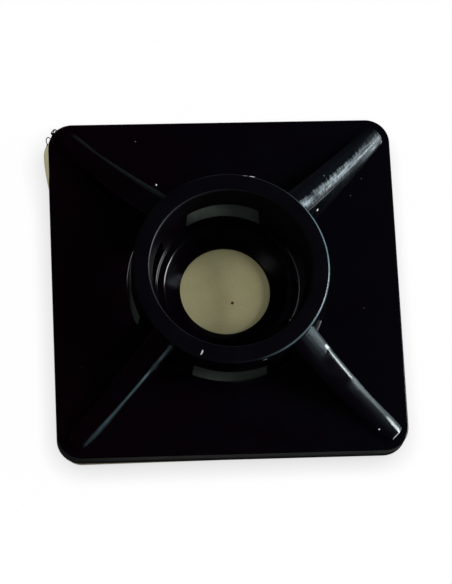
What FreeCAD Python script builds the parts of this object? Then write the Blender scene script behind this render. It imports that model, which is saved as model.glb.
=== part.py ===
"""Self-adhesive cable tie mount: a moulded base with a raised collar, a foam pad and its release liner.

The row frame has its origin at the centre of the liner's underside, +Z up, and X and Y along the plate's sides.
All lengths are in millimetres and all angles in degrees.
"""

import FreeCAD, Part
import math
import os

import Sketcher

PARTS_FOLDER = "parts"
SHEET_NAME = "sizes"
QUARTER_TURNS = 4
FULL_TURN = 360
RIB_TURN = 45
RIB_STATIONS = 7
MATCH = 1e-4

# Driving sizes: alias, value, meaning
SIZES = [
    ("plate_side", 20.0, "side of the square plate"),
    ("plate_thickness", 1.35, "thickness of the plate"),
    ("plate_corner_radius", 1.4, "corners of the plate seen from above"),
    ("plate_edge_radius", 0.15, "rounding round the plate's upper edge"),
    ("screw_hole_radius", 2.62, "screw hole through the plate"),
    ("screw_hole_land", 0.32, "straight wall at the bottom of the screw hole"),
    ("countersink_run", 0.98, "countersink from the hole out to the sunk floor, seen from above"),
    ("seat_ledge", 0.42, "sunk floor round the countersink, where a screw head sits"),
    ("seat_depth", 0.22, "sunk floor below the plate's upper face"),
    ("seat_bevel", 0.06, "bevel along the upper edge of the sunk floor's wall"),
    ("collar_height", 3.45, "rim of the collar above the plate"),
    ("collar_inner_draft", 0.54, "how much wider the inside of the collar is at its rim than at the plate"),
    ("collar_wall", 0.98, "wall of the collar at its rim"),
    ("collar_outer_draft", 0.08, "how much further out the outside of the collar stands at the plate"),
    ("collar_edge_radius", 0.12, "rounding of the rim's outer edge"),
    ("collar_inner_bevel", 0.1, "bevel of the rim's inner edge"),
    ("collar_foot_fillet", 0.25, "hollow fillet between the outside of the collar and the plate"),
    ("passage_width", 4.4, "width of each tie passage under the collar"),
    ("passage_height", 1.6, "height of each tie passage above the plate"),
    ("bridge_bevel", 0.1, "bevel under each bridge, where a tie slides"),
    ("window_ledge", 0.14, "plate between the inside of the collar and each window"),
    ("window_margin", 0.04, "outer edge of each window outside the foot of the collar"),
    ("window_bevel", 0.06, "bevel along the curved lips of each window"),
    ("rib_root_width", 1.7, "width of a corner rib's crest inside the collar wall"),
    ("rib_middle_width", 1.5, "width of a corner rib's crest halfway out"),
    ("rib_nose_width", 1.05, "width of a corner rib's crest at its nose"),
    ("rib_side_draft", 0.12, "how much further out each side of a rib stands at the plate"),
    ("rib_root_drop", 0.12, "rib's ridge below the rim of the collar"),
    ("rib_middle_height", 1.35, "ridge above the plate halfway out"),
    ("rib_nose_height", 0.3, "ridge above the plate at the nose"),
    ("rib_nose_margin", 0.5, "nose of a rib to the plate's rounded corner"),
    ("rib_root_round", 0.5, "rounded shoulders of a rib at the collar"),
    ("rib_middle_round", 0.45, "rounded shoulders of a rib halfway out"),
    ("rib_nose_round", 0.2, "rounded shoulders of a rib at its nose"),
    ("rib_end_radius", 0.1, "rounding round the end face of each nose"),
    ("foam_thickness", 1.0, "thickness of the foam pad"),
    ("foam_inset", 0.28, "edge of the pad inside the edge of the plate"),
    ("foam_corner_radius", 1.1, "corners of the pad"),
    ("foam_bulge_reach", 0.17, "pad squeezed out past the plate on its left side"),
    ("foam_bulge_peak", 8.5, "furthest point of that bulge, from the X axis"),
    ("foam_bulge_short_run", 0.6, "bulge from its peak towards the near corner"),
    ("foam_bulge_long_run", 2.1, "bulge from its peak towards the middle of the side"),
    ("foam_skew", 0.5, "turn of the pad and liner against the plate, in degrees"),
    ("liner_thickness", 0.1, "thickness of the release liner"),
]

# Derived lengths, written as expressions on the sheet
PLATE_HALF = "sizes.plate_side / 2"
PLATE_TOP = "sizes.plate_thickness"
PLATE_CORE = "sizes.plate_thickness / 2"
PLATE_CORNER_REACH = "sqrt(2) * (sizes.plate_side / 2 - sizes.plate_corner_radius) + sizes.plate_corner_radius"
RIM = "sizes.plate_thickness + sizes.collar_height"
PASSAGE_HALF = "sizes.passage_width / 2"
PASSAGE_TOP = "sizes.plate_thickness + sizes.passage_height"
SEAT_FLOOR = "sizes.plate_thickness - sizes.seat_depth"
COUNTERSINK_RADIUS = "sizes.screw_hole_radius + sizes.countersink_run"
SEAT_RADIUS = COUNTERSINK_RADIUS + " + sizes.seat_ledge"
COLLAR_INNER_FOOT = SEAT_RADIUS + " + sizes.seat_bevel"
COLLAR_INNER_RIM = COLLAR_INNER_FOOT + " + sizes.collar_inner_draft"
COLLAR_OUTER_RIM = COLLAR_INNER_RIM + " + sizes.collar_wall"
COLLAR_OUTER_FOOT = COLLAR_OUTER_RIM + " + sizes.collar_outer_draft"
PASSAGE_REACH = COLLAR_OUTER_FOOT + " + 2 * sizes.collar_foot_fillet"
WINDOW_INNER_RADIUS = COLLAR_INNER_FOOT + " + sizes.window_ledge"
WINDOW_OUTER_RADIUS = COLLAR_OUTER_FOOT + " + sizes.window_margin"
RIB_ROOT_REACH = COLLAR_OUTER_RIM + " - sizes.collar_wall / 2"
RIB_NOSE_REACH = PLATE_CORNER_REACH + " - sizes.rib_nose_margin"
RIB_MIDDLE_REACH = "((" + RIB_ROOT_REACH + ") + (" + RIB_NOSE_REACH + ")) / 2"
PAD_HALF = "sizes.plate_side / 2 - sizes.foam_inset"
BASE_LIFT = "sizes.liner_thickness + sizes.foam_thickness"


def make_sheet(document):
    """Put the driving sizes in a spreadsheet, one alias to a row."""
    sheet = document.addObject("Spreadsheet::Sheet", SHEET_NAME)
    for row, (alias, value, meaning) in enumerate(SIZES, start=1):
        sheet.set("A%d" % row, meaning)
        sheet.set("B%d" % row, str(value))
        sheet.setAlias("B%d" % row, alias)
    document.recompute()


def number(holder, expression):
    """Value of an expression on the sheet, as a plain number."""
    result = holder.evalExpression(expression)
    return float(getattr(result, "Value", result))


def new_body(document, name, lift):
    """Body with its own label, raised along Z by an expression."""
    body = document.addObject("PartDesign::Body", name)
    body.Label = name
    body.setExpression(".Placement.Base.z", lift)
    return body


def turn_body(body, angle):
    """Turn a body about the Z axis by an expression."""
    turn = FreeCAD.Rotation(FreeCAD.Vector(0, 0, 1), number(body, angle))
    body.Placement = FreeCAD.Placement(FreeCAD.Vector(), turn)
    body.setExpression(".Placement.Rotation.Angle", angle)


def origin_feature(body, role):
    """Origin plane or axis of a body, found by its role."""
    return next(item for item in body.Origin.OriginFeatures if item.Role == role)


def new_sketch(body, name, role):
    """Sketch lying flat on one of the body's own origin planes."""
    sketch = body.newObject("Sketcher::SketchObject", name)
    sketch.AttachmentSupport = [(origin_feature(body, role), "")]
    sketch.MapMode = "FlatFace"
    return sketch


def bind(sketch, kind, *arguments):
    """Add a dimension whose last argument is an expression, and bind it to the sheet."""
    *where, expression = arguments
    index = sketch.addConstraint(Sketcher.Constraint(kind, *where, number(sketch, expression)))
    sketch.setExpression("Constraints[%d]" % index, expression)


def arc_between(start, end, radius):
    """Arc of less than half a turn from start to end, to the left for a positive radius, else to the right."""
    chord = end - start
    rise = math.sqrt(radius * radius - chord.Length * chord.Length / 4)
    left = FreeCAD.Vector(-chord.y, chord.x, 0).normalize()
    centre = (start + end) / 2 + left * math.copysign(rise, radius)
    first, last = (start, end) if radius > 0 else (end, start)
    begin = math.atan2(first.y - centre.y, first.x - centre.x)
    finish = math.atan2(last.y - centre.y, last.x - centre.x)
    circle = Part.Circle(centre, FreeCAD.Vector(0, 0, 1), abs(radius))
    return Part.ArcOfCircle(circle, begin, finish)


def pin(sketch, kind, axis, geometry, vertex, expression):
    """Hold one coordinate of a vertex at an expression, or on the axis where the expression is zero."""
    if expression == "0":
        sketch.addConstraint(Sketcher.Constraint("PointOnObject", geometry, vertex, axis))
    else:
        bind(sketch, kind, -1, 1, geometry, vertex, expression)


def add_profile(sketch, corners):
    """Closed anticlockwise outline through corners given as expressions.

    Each corner is (x, y) or (x, y, radius). With a radius, the edge that leaves the corner is an arc: it
    bulges outwards where the radius is plain, and inwards where a minus sign leads it.
    """
    points = [FreeCAD.Vector(number(sketch, corner[0]), number(sketch, corner[1]), 0) for corner in corners]
    edges = []
    for index, corner in enumerate(corners):
        start = points[index]
        end = points[(index + 1) % len(points)]
        if len(corner) == 2:
            edges.append((sketch.addGeometry(Part.LineSegment(start, end), False), 1, 2))
            continue
        radius = number(sketch, corner[2])
        geometry = sketch.addGeometry(arc_between(start, end, radius), False)
        # an arc runs anticlockwise about its centre, so one that bulges inwards is entered at its far end
        edges.append((geometry, 1, 2) if radius > 0 else (geometry, 2, 1))
    for index, corner in enumerate(corners):
        geometry, first, _ = edges[index]
        before, _, last = edges[index - 1]
        sketch.addConstraint(Sketcher.Constraint("Coincident", before, last, geometry, first))
        pin(sketch, "DistanceX", -2, geometry, first, corner[0])
        pin(sketch, "DistanceY", -1, geometry, first, corner[1])
    for (geometry, _, _), corner in zip(edges, corners):
        if len(corner) == 3:
            bind(sketch, "Radius", geometry, corner[2].lstrip("-"))


def rounded_square(half, radius):
    """Corners of a rounded square, anticlockwise from its lower side."""
    inner = "(" + half + ") - (" + radius + ")"
    low = "-(" + half + ")"
    low_inner = "-(" + inner + ")"
    return [
        (low_inner, low),
        (inner, low, radius),
        (half, low_inner),
        (half, inner, radius),
        (inner, half),
        (low_inner, half, radius),
        (low, inner),
        (low, low_inner, radius),
    ]


def pad(body, sketch, name, length):
    """Pad a sketch upwards by an expression."""
    feature = body.newObject("PartDesign::Pad", name)
    feature.Profile = sketch
    feature.setExpression("Length", length)
    return feature


def polar(document, body, feature, name):
    """Repeat a feature at each quarter turn about the Z axis and make the pattern the body's tip."""
    pattern = body.newObject("PartDesign::PolarPattern", name)
    pattern.Originals = [feature]
    pattern.Axis = (origin_feature(body, "Z_Axis"), [""])
    pattern.Angle = FULL_TURN
    pattern.Occurrences = QUARTER_TURNS
    body.Tip = pattern
    document.recompute()
    return pattern


def check_cut(document, before, feature):
    """Recompute, and make sure that a cutting feature took material from the feature before it."""
    document.recompute()
    if feature.Shape.isNull() or feature.Shape.Volume >= before.Shape.Volume - MATCH:
        raise RuntimeError(feature.Label + " cuts nothing")


def dress(document, body, base, kind, name, size, test):
    """Round or bevel every edge of a feature that passes a test, by an expression. Kind is Fillet or Chamfer."""
    names = ["Edge%d" % (index + 1) for index, edge in enumerate(base.Shape.Edges) if test(edge)]
    if not names:
        raise RuntimeError(name + " finds no edge")
    feature = body.newObject("PartDesign::" + kind, name)
    feature.Base = (base, names)
    feature.setExpression("Radius" if kind == "Fillet" else "Size", size)
    document.recompute()
    return feature


def level_at(edge, height):
    """True if an edge lies flat at a height."""
    box = edge.BoundBox
    return abs(box.ZMin - height) < MATCH and abs(box.ZMax - height) < MATCH


def circle_about_axis(edge, radius):
    """True if an edge is an arc about the Z axis with a radius."""
    curve = edge.Curve
    if not isinstance(curve, Part.Circle):
        return False
    return math.hypot(curve.Center.x, curve.Center.y) < MATCH and abs(curve.Radius - radius) < MATCH


def add_plate(document, body):
    """Rounded square plate."""
    sketch = new_sketch(body, "plate_outline", "XY_Plane")
    add_profile(sketch, rounded_square(PLATE_HALF, "sizes.plate_corner_radius"))
    plate = pad(body, sketch, "plate", PLATE_TOP)
    document.recompute()
    return plate


def soften_plate_edge(document, body, plate):
    """Round the upper edge of the plate all the way round."""
    top = number(body, PLATE_TOP)

    def on_edge(edge):
        return level_at(edge, top)

    return dress(document, body, plate, "Fillet", "plate_edge", "sizes.plate_edge_radius", on_edge)


def rib_section(body, name, reach, width, crest, shoulder):
    """Sketch across a rib at a distance from the axis: drafted sides and a flat crest with rounded shoulders."""
    sketch = new_sketch(body, name, "YZ_Plane")
    sketch.AttachmentOffset = FreeCAD.Placement(
        FreeCAD.Vector(), FreeCAD.Rotation(FreeCAD.Vector(0, 1, 0), RIB_TURN)
    )
    sketch.setExpression(".AttachmentOffset.Base.x", "(" + reach + ") * sin(%d deg)" % RIB_TURN)
    sketch.setExpression(".AttachmentOffset.Base.z", "(" + reach + ") * cos(%d deg)" % RIB_TURN)
    half = "(" + width + ") / 2"
    foot = half + " + sizes.rib_side_draft"
    flat = half + " - (" + shoulder + ")"
    side_top = "(" + crest + ") - (" + shoulder + ")"
    corners = [
        ("-(" + foot + ")", PLATE_CORE),
        (foot, PLATE_CORE),
        (foot, PLATE_TOP),
        (half, side_top, shoulder),
        (flat, crest),
        ("-(" + flat + ")", crest, shoulder),
        ("-(" + half + ")", side_top),
        ("-(" + foot + ")", PLATE_TOP),
    ]
    add_profile(sketch, corners)
    return sketch


def along_rib(station, root, middle, nose):
    """Expression of a quadratic through its root, middle and nose values, at one of the rib's stations."""
    share = station / (RIB_STATIONS - 1)
    weights = ((1 - share) * (1 - 2 * share), 4 * share * (1 - share), share * (2 * share - 1))
    terms = ["%.6f * (%s)" % (weight, value) for weight, value in zip(weights, (root, middle, nose))]
    return " + ".join(terms)


def add_ribs(document, body):
    """Four corner ribs that sink in a hollow sweep from the collar to a blunt nose near each corner.

    Their sections stand at even stations, and straight lines join each section to the next.
    """
    reach = (RIB_ROOT_REACH, RIB_MIDDLE_REACH, RIB_NOSE_REACH)
    width = ("sizes.rib_root_width", "sizes.rib_middle_width", "sizes.rib_nose_width")
    height = ("sizes.collar_height - sizes.rib_root_drop", "sizes.rib_middle_height", "sizes.rib_nose_height")
    shoulder = ("sizes.rib_root_round", "sizes.rib_middle_round", "sizes.rib_nose_round")
    sections = []
    for station in range(RIB_STATIONS):
        name = "rib_section_%d" % station
        crest = PLATE_TOP + " + " + along_rib(station, *height)
        places = [along_rib(station, *values) for values in (reach, width)]
        sections.append(rib_section(body, name, *places, crest, along_rib(station, *shoulder)))
    rib = body.newObject("PartDesign::AdditiveLoft", "rib")
    rib.Profile = sections[0]
    rib.Sections = sections[1:]
    rib.Ruled = True
    document.recompute()
    return polar(document, body, rib, "ribs")


def soften_noses(document, body, ribs):
    """Round the end of each rib, over its crest and shoulders and down both corners."""
    top = number(body, PLATE_TOP)
    reach = number(body, RIB_NOSE_REACH)

    def on_nose(edge):
        middle = edge.valueAt((edge.FirstParameter + edge.LastParameter) / 2)
        out = (abs(middle.x) + abs(middle.y)) / math.sqrt(2)
        return abs(out - reach) < MATCH and middle.z > top + MATCH

    return dress(document, body, ribs, "Fillet", "nose_edges", "sizes.rib_end_radius", on_nose)


def collar_section():
    """Section of the collar: inner foot, outer foot, up the outside, over the rim and down the inside.

    The inside leans away from the axis towards the rim and the outside leans towards it. At the outer edge of
    the rim and at the outer foot an arc joins the two sides at its tangent points. A corner that turns by a
    right angle less the lean takes the arc's radius times the tangent of half that turn on each side.
    """
    lean = "atan(sizes.collar_outer_draft / sizes.collar_height)"
    edge = "sizes.collar_edge_radius * tan((90 deg - " + lean + ") / 2)"
    foot = "sizes.collar_foot_fillet * tan((90 deg - " + lean + ") / 2)"
    bevel_run = "sizes.collar_inner_bevel * sizes.collar_inner_draft / sizes.collar_height"
    return [
        (COLLAR_INNER_FOOT, PLATE_CORE),
        (COLLAR_OUTER_FOOT + " + " + foot, PLATE_CORE),
        (COLLAR_OUTER_FOOT + " + " + foot, PLATE_TOP, "-sizes.collar_foot_fillet"),
        (
            COLLAR_OUTER_FOOT + " - " + foot + " * sin(" + lean + ")",
            PLATE_TOP + " + " + foot + " * cos(" + lean + ")",
        ),
        (
            COLLAR_OUTER_RIM + " + " + edge + " * sin(" + lean + ")",
            RIM + " - " + edge + " * cos(" + lean + ")",
            "sizes.collar_edge_radius",
        ),
        (COLLAR_OUTER_RIM + " - " + edge, RIM),
        (COLLAR_INNER_RIM + " + sizes.collar_inner_bevel", RIM),
        (COLLAR_INNER_RIM + " - " + bevel_run, RIM + " - sizes.collar_inner_bevel"),
        (COLLAR_INNER_FOOT, PLATE_TOP),
    ]


def add_collar(document, body):
    """Round collar turned about the axis, with drafted sides, a softened rim and a hollow outer foot."""
    sketch = new_sketch(body, "collar_section", "XZ_Plane")
    add_profile(sketch, collar_section())
    collar = body.newObject("PartDesign::Revolution", "collar")
    collar.Profile = sketch
    collar.ReferenceAxis = (sketch, ["V_Axis"])
    collar.Angle = FULL_TURN
    document.recompute()
    return collar


def cut_passages(document, body, before):
    """Two crossing passages that leave a bridge of the collar over each of their four mouths."""
    for name, role in (("passage_along_x", "YZ_Plane"), ("passage_along_y", "XZ_Plane")):
        sketch = new_sketch(body, name + "_section", role)
        corners = [
            ("-" + PASSAGE_HALF, PLATE_TOP),
            (PASSAGE_HALF, PLATE_TOP),
            (PASSAGE_HALF, PASSAGE_TOP),
            ("-" + PASSAGE_HALF, PASSAGE_TOP),
        ]
        add_profile(sketch, corners)
        passage = body.newObject("PartDesign::Pocket", name)
        passage.Profile = sketch
        passage.SideType = "Symmetric"
        passage.setExpression("Length", "2 * (" + PASSAGE_REACH + ")")
        check_cut(document, before, passage)
        before = passage
    return before


def cut_windows(document, body, before):
    """Window through the plate under each bridge: two arcs about the axis joined by sides along the passage."""
    inner = "(" + WINDOW_INNER_RADIUS + ")"
    outer = "(" + WINDOW_OUTER_RADIUS + ")"
    inner_side = "sqrt(" + inner + " ^ 2 - (" + PASSAGE_HALF + ") ^ 2)"
    outer_side = "sqrt(" + outer + " ^ 2 - (" + PASSAGE_HALF + ") ^ 2)"
    sketch = new_sketch(body, "window_outline", "XY_Plane")
    corners = [
        (inner_side, "-" + PASSAGE_HALF),
        (outer_side, "-" + PASSAGE_HALF, outer),
        (outer_side, PASSAGE_HALF),
        (inner_side, PASSAGE_HALF, "-" + inner),
    ]
    add_profile(sketch, corners)
    window = body.newObject("PartDesign::Pocket", "window")
    window.Profile = sketch
    window.Reversed = True
    window.setExpression("Length", PLATE_TOP)
    check_cut(document, before, window)
    windows = polar(document, body, window, "windows")
    check_cut(document, window, windows)
    return windows


def cut_screw_hole(document, body, before):
    """Sunk floor inside the collar for a screw head, with a bevelled edge and a countersunk hole in it."""
    sketch = new_sketch(body, "screw_hole_section", "XZ_Plane")
    corners = [
        ("0", "0"),
        ("sizes.screw_hole_radius", "0"),
        ("sizes.screw_hole_radius", "sizes.screw_hole_land"),
        (COUNTERSINK_RADIUS, SEAT_FLOOR),
        (SEAT_RADIUS, SEAT_FLOOR),
        (SEAT_RADIUS, PLATE_TOP + " - sizes.seat_bevel"),
        (COLLAR_INNER_FOOT, PLATE_TOP),
        ("0", PLATE_TOP),
    ]
    add_profile(sketch, corners)
    hole = body.newObject("PartDesign::Groove", "screw_hole")
    hole.Profile = sketch
    hole.ReferenceAxis = (sketch, ["V_Axis"])
    hole.Angle = FULL_TURN
    check_cut(document, before, hole)
    return hole


def bevel_passages(document, body, before):
    """Bevel the curved edges that a tie slides over: the window lips and the undersides of the bridges."""
    top = number(body, PLATE_TOP)
    ceiling = number(body, PASSAGE_TOP)
    lips = [number(body, WINDOW_INNER_RADIUS), number(body, WINDOW_OUTER_RADIUS)]

    def on_lip(edge):
        return level_at(edge, top) and any(circle_about_axis(edge, radius) for radius in lips)

    def on_bridge(edge):
        return level_at(edge, ceiling) and isinstance(edge.Curve, Part.Circle)

    lipped = dress(document, body, before, "Chamfer", "window_lips", "sizes.window_bevel", on_lip)
    return dress(document, body, lipped, "Chamfer", "bridge_edges", "sizes.bridge_bevel", on_bridge)


def make_mount_base(document):
    """Moulded base: plate, four corner ribs, collar with four tie passages, windows and screw hole."""
    body = new_body(document, "mount_base", BASE_LIFT)
    plate = add_plate(document, body)
    soften_plate_edge(document, body, plate)
    ribs = add_ribs(document, body)
    soften_noses(document, body, ribs)
    collar = add_collar(document, body)
    open_collar = cut_passages(document, body, collar)
    windows = cut_windows(document, body, open_collar)
    hole = cut_screw_hole(document, body, windows)
    bevel_passages(document, body, hole)
    return body


def make_foam_pad(document):
    """Foam pad a little smaller than the plate, squeezed out past it along one stretch of its left side."""
    body = new_body(document, "foam_pad", "sizes.liner_thickness")
    turn_body(body, "sizes.foam_skew")
    outline = new_sketch(body, "foam_outline", "XY_Plane")
    add_profile(outline, rounded_square(PAD_HALF, "sizes.foam_corner_radius"))
    pad(body, outline, "foam_sheet", "sizes.foam_thickness")
    document.recompute()
    rise = "(sizes.foam_inset + sizes.foam_bulge_reach)"
    short_radius = "((sizes.foam_bulge_short_run ^ 2 + " + rise + " ^ 2) / (2 * " + rise + "))"
    long_radius = "((sizes.foam_bulge_long_run ^ 2 + " + rise + " ^ 2) / (2 * " + rise + "))"
    inside = "-(" + PAD_HALF + " - sizes.foam_corner_radius)"
    edge = "-(" + PAD_HALF + ")"
    high = "sizes.foam_bulge_peak + sizes.foam_bulge_short_run"
    low = "sizes.foam_bulge_peak - sizes.foam_bulge_long_run"
    bulge_outline = new_sketch(body, "bulge_outline", "XY_Plane")
    corners = [
        (inside, low),
        (inside, high),
        (edge, high, short_radius),
        ("-(" + PLATE_HALF + " + sizes.foam_bulge_reach)", "sizes.foam_bulge_peak", long_radius),
        (edge, low),
    ]
    add_profile(bulge_outline, corners)
    pad(body, bulge_outline, "foam_bulge", "sizes.foam_thickness")
    return body


def make_release_liner(document):
    """Thin paper liner, cut to the pad's outline and lying under it."""
    body = new_body(document, "release_liner", "0")
    turn_body(body, "sizes.foam_skew")
    outline = new_sketch(body, "liner_outline", "XY_Plane")
    add_profile(outline, rounded_square(PAD_HALF, "sizes.foam_corner_radius"))
    pad(body, outline, "liner_sheet", "sizes.liner_thickness")
    return body


def check_and_write(document, bodies):
    """Stop on any failed object or unsound shape, then write one STEP file for each body."""
    for item in document.Objects:
        if "Invalid" in item.State or "Error" in item.State:
            raise RuntimeError(item.Label + " failed: " + str(item.State))
    for body in bodies:
        if body.Shape.isNull() or not body.Shape.isValid() or len(body.Shape.Solids) != 1:
            raise RuntimeError(body.Label + " is not one sound solid")
    os.makedirs(PARTS_FOLDER, exist_ok=True)
    for body in bodies:
        body.Shape.exportStep(os.path.join(PARTS_FOLDER, body.Label + ".step"))
        print("%s: %.2f cubic mm, %d faces" % (body.Label, body.Shape.Volume, len(body.Shape.Faces)))


def main():
    """Build the three pieces and write them."""
    document = FreeCAD.newDocument("cable_tie_mount")
    make_sheet(document)
    bodies = [make_mount_base(document), make_foam_pad(document), make_release_liner(document)]
    document.recompute()
    check_and_write(document, bodies)


main()
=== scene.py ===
"""Looks of a black moulded cable tie mount on its foam pad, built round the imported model."""

import logging
import math
from dataclasses import dataclass, field
from enum import Enum

import bpy
import numpy as np
from mathutils import Matrix, Vector


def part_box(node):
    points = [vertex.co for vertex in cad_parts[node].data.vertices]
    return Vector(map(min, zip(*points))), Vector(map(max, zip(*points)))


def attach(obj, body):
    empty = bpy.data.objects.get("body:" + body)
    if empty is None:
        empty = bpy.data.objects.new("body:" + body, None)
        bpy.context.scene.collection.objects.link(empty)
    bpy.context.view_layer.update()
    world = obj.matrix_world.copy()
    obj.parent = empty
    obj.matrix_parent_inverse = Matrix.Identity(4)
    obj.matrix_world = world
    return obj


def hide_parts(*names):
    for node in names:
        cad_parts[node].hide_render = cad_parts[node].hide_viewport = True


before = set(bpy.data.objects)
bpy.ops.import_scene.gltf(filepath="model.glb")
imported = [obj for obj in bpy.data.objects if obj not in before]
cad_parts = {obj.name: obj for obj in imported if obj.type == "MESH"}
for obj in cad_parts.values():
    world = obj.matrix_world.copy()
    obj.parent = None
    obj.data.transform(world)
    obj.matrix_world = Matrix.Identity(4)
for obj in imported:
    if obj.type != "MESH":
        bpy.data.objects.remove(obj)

Socket = bpy.types.NodeSocket
Colour = tuple[float, float, float, float]
Triple = tuple[float, float, float]
Stops = tuple[tuple[float, float], ...]
Step = tuple[float, float, float, float]

MM = 0.001
QUARTERS = 4
RIGHT_ANGLE_DEG = 90
WHITE: Colour = (1.0, 1.0, 1.0, 1.0)
LOG = logging.getLogger("cable_tie_mount")


class Corner(Enum):
    """Corner ribs by the number of quarter turns from the first one."""

    FAR_RIGHT = 0
    FAR_LEFT = 1
    NEAR_LEFT = 2
    NEAR_RIGHT = 3


def rib_mark(corner: Corner) -> str:
    """Name of the attribute that marks the points of one rib."""
    return "rib_" + corner.name.lower()


class Cut(Enum):
    """Ways in which one closed mesh works on another."""

    JOIN = "UNION"
    REMOVE = "DIFFERENCE"


# Shapes.


def rounded_path(corners: np.ndarray, radii: np.ndarray, steps: int = 9) -> np.ndarray:
    """Replace each inner corner of an open flat path by an arc.

    Each arc touches both sides of its corner. Its centre lies on the corner's bisector at the radius over
    the sine of half the corner, and its points are spherical blends of the directions to its two ends.

    Args:
        corners: (n, 2) points of the path.
        radii: (n - 2,) radius at each inner corner.
        steps: points on each arc.

    Returns:
        (m, 2) points of the softened path, from its first corner to its last.
    """
    inner = corners[1:-1]
    before, after = corners[:-2] - inner, corners[2:] - inner
    before /= np.linalg.norm(before, axis=1, keepdims=True)
    after /= np.linalg.norm(after, axis=1, keepdims=True)
    half = np.arccos(np.clip((before * after).sum(1), -1, 1)) / 2
    bisector = before + after
    bisector /= np.linalg.norm(bisector, axis=1, keepdims=True)
    centre = inner + bisector * (radii / np.sin(half))[:, None]
    reach = (radii / np.tan(half))[:, None]
    first = inner + before * reach - centre
    last = inner + after * reach - centre
    turn = (math.pi - 2 * half)[:, None, None]
    share = np.linspace(0, 1, steps)[None, :, None]
    arc = (np.sin((1 - share) * turn) * first[:, None] + np.sin(share * turn) * last[:, None]) / np.sin(turn)
    points = centre[:, None] + arc
    return np.concatenate([corners[:1], points.reshape(-1, 2), corners[-1:]])


def grid_faces(rows: int, columns: int, close_rows: bool) -> np.ndarray:
    """Quads between neighbouring points of a grid stored row by row, whose rows are closed rings.

    Args:
        rows: number of rows.
        columns: number of points in a row.
        close_rows: whether the last row joins the first one.

    Returns:
        (m, 4) point numbers.
    """
    row = np.arange(rows if close_rows else rows - 1)[:, None]
    column = np.arange(columns)[None, :]
    next_row, next_column = (row + 1) % rows, (column + 1) % columns
    corners = (
        row * columns + column,
        row * columns + next_column,
        next_row * columns + next_column,
        next_row * columns + column,
    )
    return np.stack(corners, axis=-1).reshape(-1, 4)


def turn_about_z(points: np.ndarray, quarter: float) -> np.ndarray:
    """Turn (..., 2) or (..., 3) points about the Z axis by a number of quarter turns."""
    angle = quarter * math.pi / 2
    cosine, sine = math.cos(angle), math.sin(angle)
    x, y = points[..., 0], points[..., 1]
    turned = np.stack([cosine * x - sine * y, sine * x + cosine * y], axis=-1)
    return np.concatenate([turned, points[..., 2:]], axis=-1)


def rounded_square(
    half_side: float, corner_radius: float, side_columns: int, corner_columns: int
) -> tuple[np.ndarray, np.ndarray]:
    """Core point and outward direction at each column of a rounded square.

    Along a side the core point moves and the direction stays; round a corner the core point stays and the
    direction sweeps a quarter turn. The edge itself is the core point plus the corner radius along the
    direction.

    Args:
        half_side: half the width of the square.
        corner_radius: radius of its corners.
        side_columns: columns along each side.
        corner_columns: columns round each corner.

    Returns:
        (n, 2) core points and (n, 2) directions, anticlockwise.
    """
    core = half_side - corner_radius
    along = np.linspace(-core, core, side_columns, endpoint=False)
    sweep = np.linspace(0, math.pi / 2, corner_columns, endpoint=False)
    angle = np.concatenate([np.zeros(side_columns), sweep])
    x = np.full(len(angle), core)
    points = np.stack([x, np.concatenate([along, np.full(corner_columns, core)])], axis=-1)
    normals = np.stack([np.cos(angle), np.sin(angle)], axis=-1)
    quarters = range(QUARTERS)
    core_points = np.concatenate([turn_about_z(points, quarter) for quarter in quarters])
    directions = np.concatenate([turn_about_z(normals, quarter) for quarter in quarters])
    return core_points, directions


def at_levels(flat: np.ndarray, levels: np.ndarray) -> np.ndarray:
    """(rows, columns, 3) points from (rows, columns, 2) places in plan and a height for each row."""
    height = np.broadcast_to(levels[:, None, None], flat.shape[:2] + (1,))
    return np.concatenate([flat, height], axis=-1)


def value_noise(points: np.ndarray, cell: float, seed: int) -> np.ndarray:
    """Smooth noise from -1 to 1: random values on a lattice, blended with the smooth step between them.

    Args:
        points: (..., 2) places.
        cell: size of one lattice cell.
        seed: which noise it is.

    Returns:
        (...) values.
    """
    period = 256
    lattice = np.random.default_rng(seed).uniform(-1, 1, (period, period))
    place = points / cell
    base = np.floor(place).astype(int)
    part = place - base
    x_share, y_share = np.moveaxis(part * part * (3 - 2 * part), -1, 0)
    x_low, y_low = np.moveaxis(base % period, -1, 0)
    x_high, y_high = np.moveaxis((base + 1) % period, -1, 0)
    near = lattice[x_low, y_low] * (1 - x_share) + lattice[x_high, y_low] * x_share
    far = lattice[x_low, y_high] * (1 - x_share) + lattice[x_high, y_high] * x_share
    return near * (1 - y_share) + far * y_share


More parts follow.
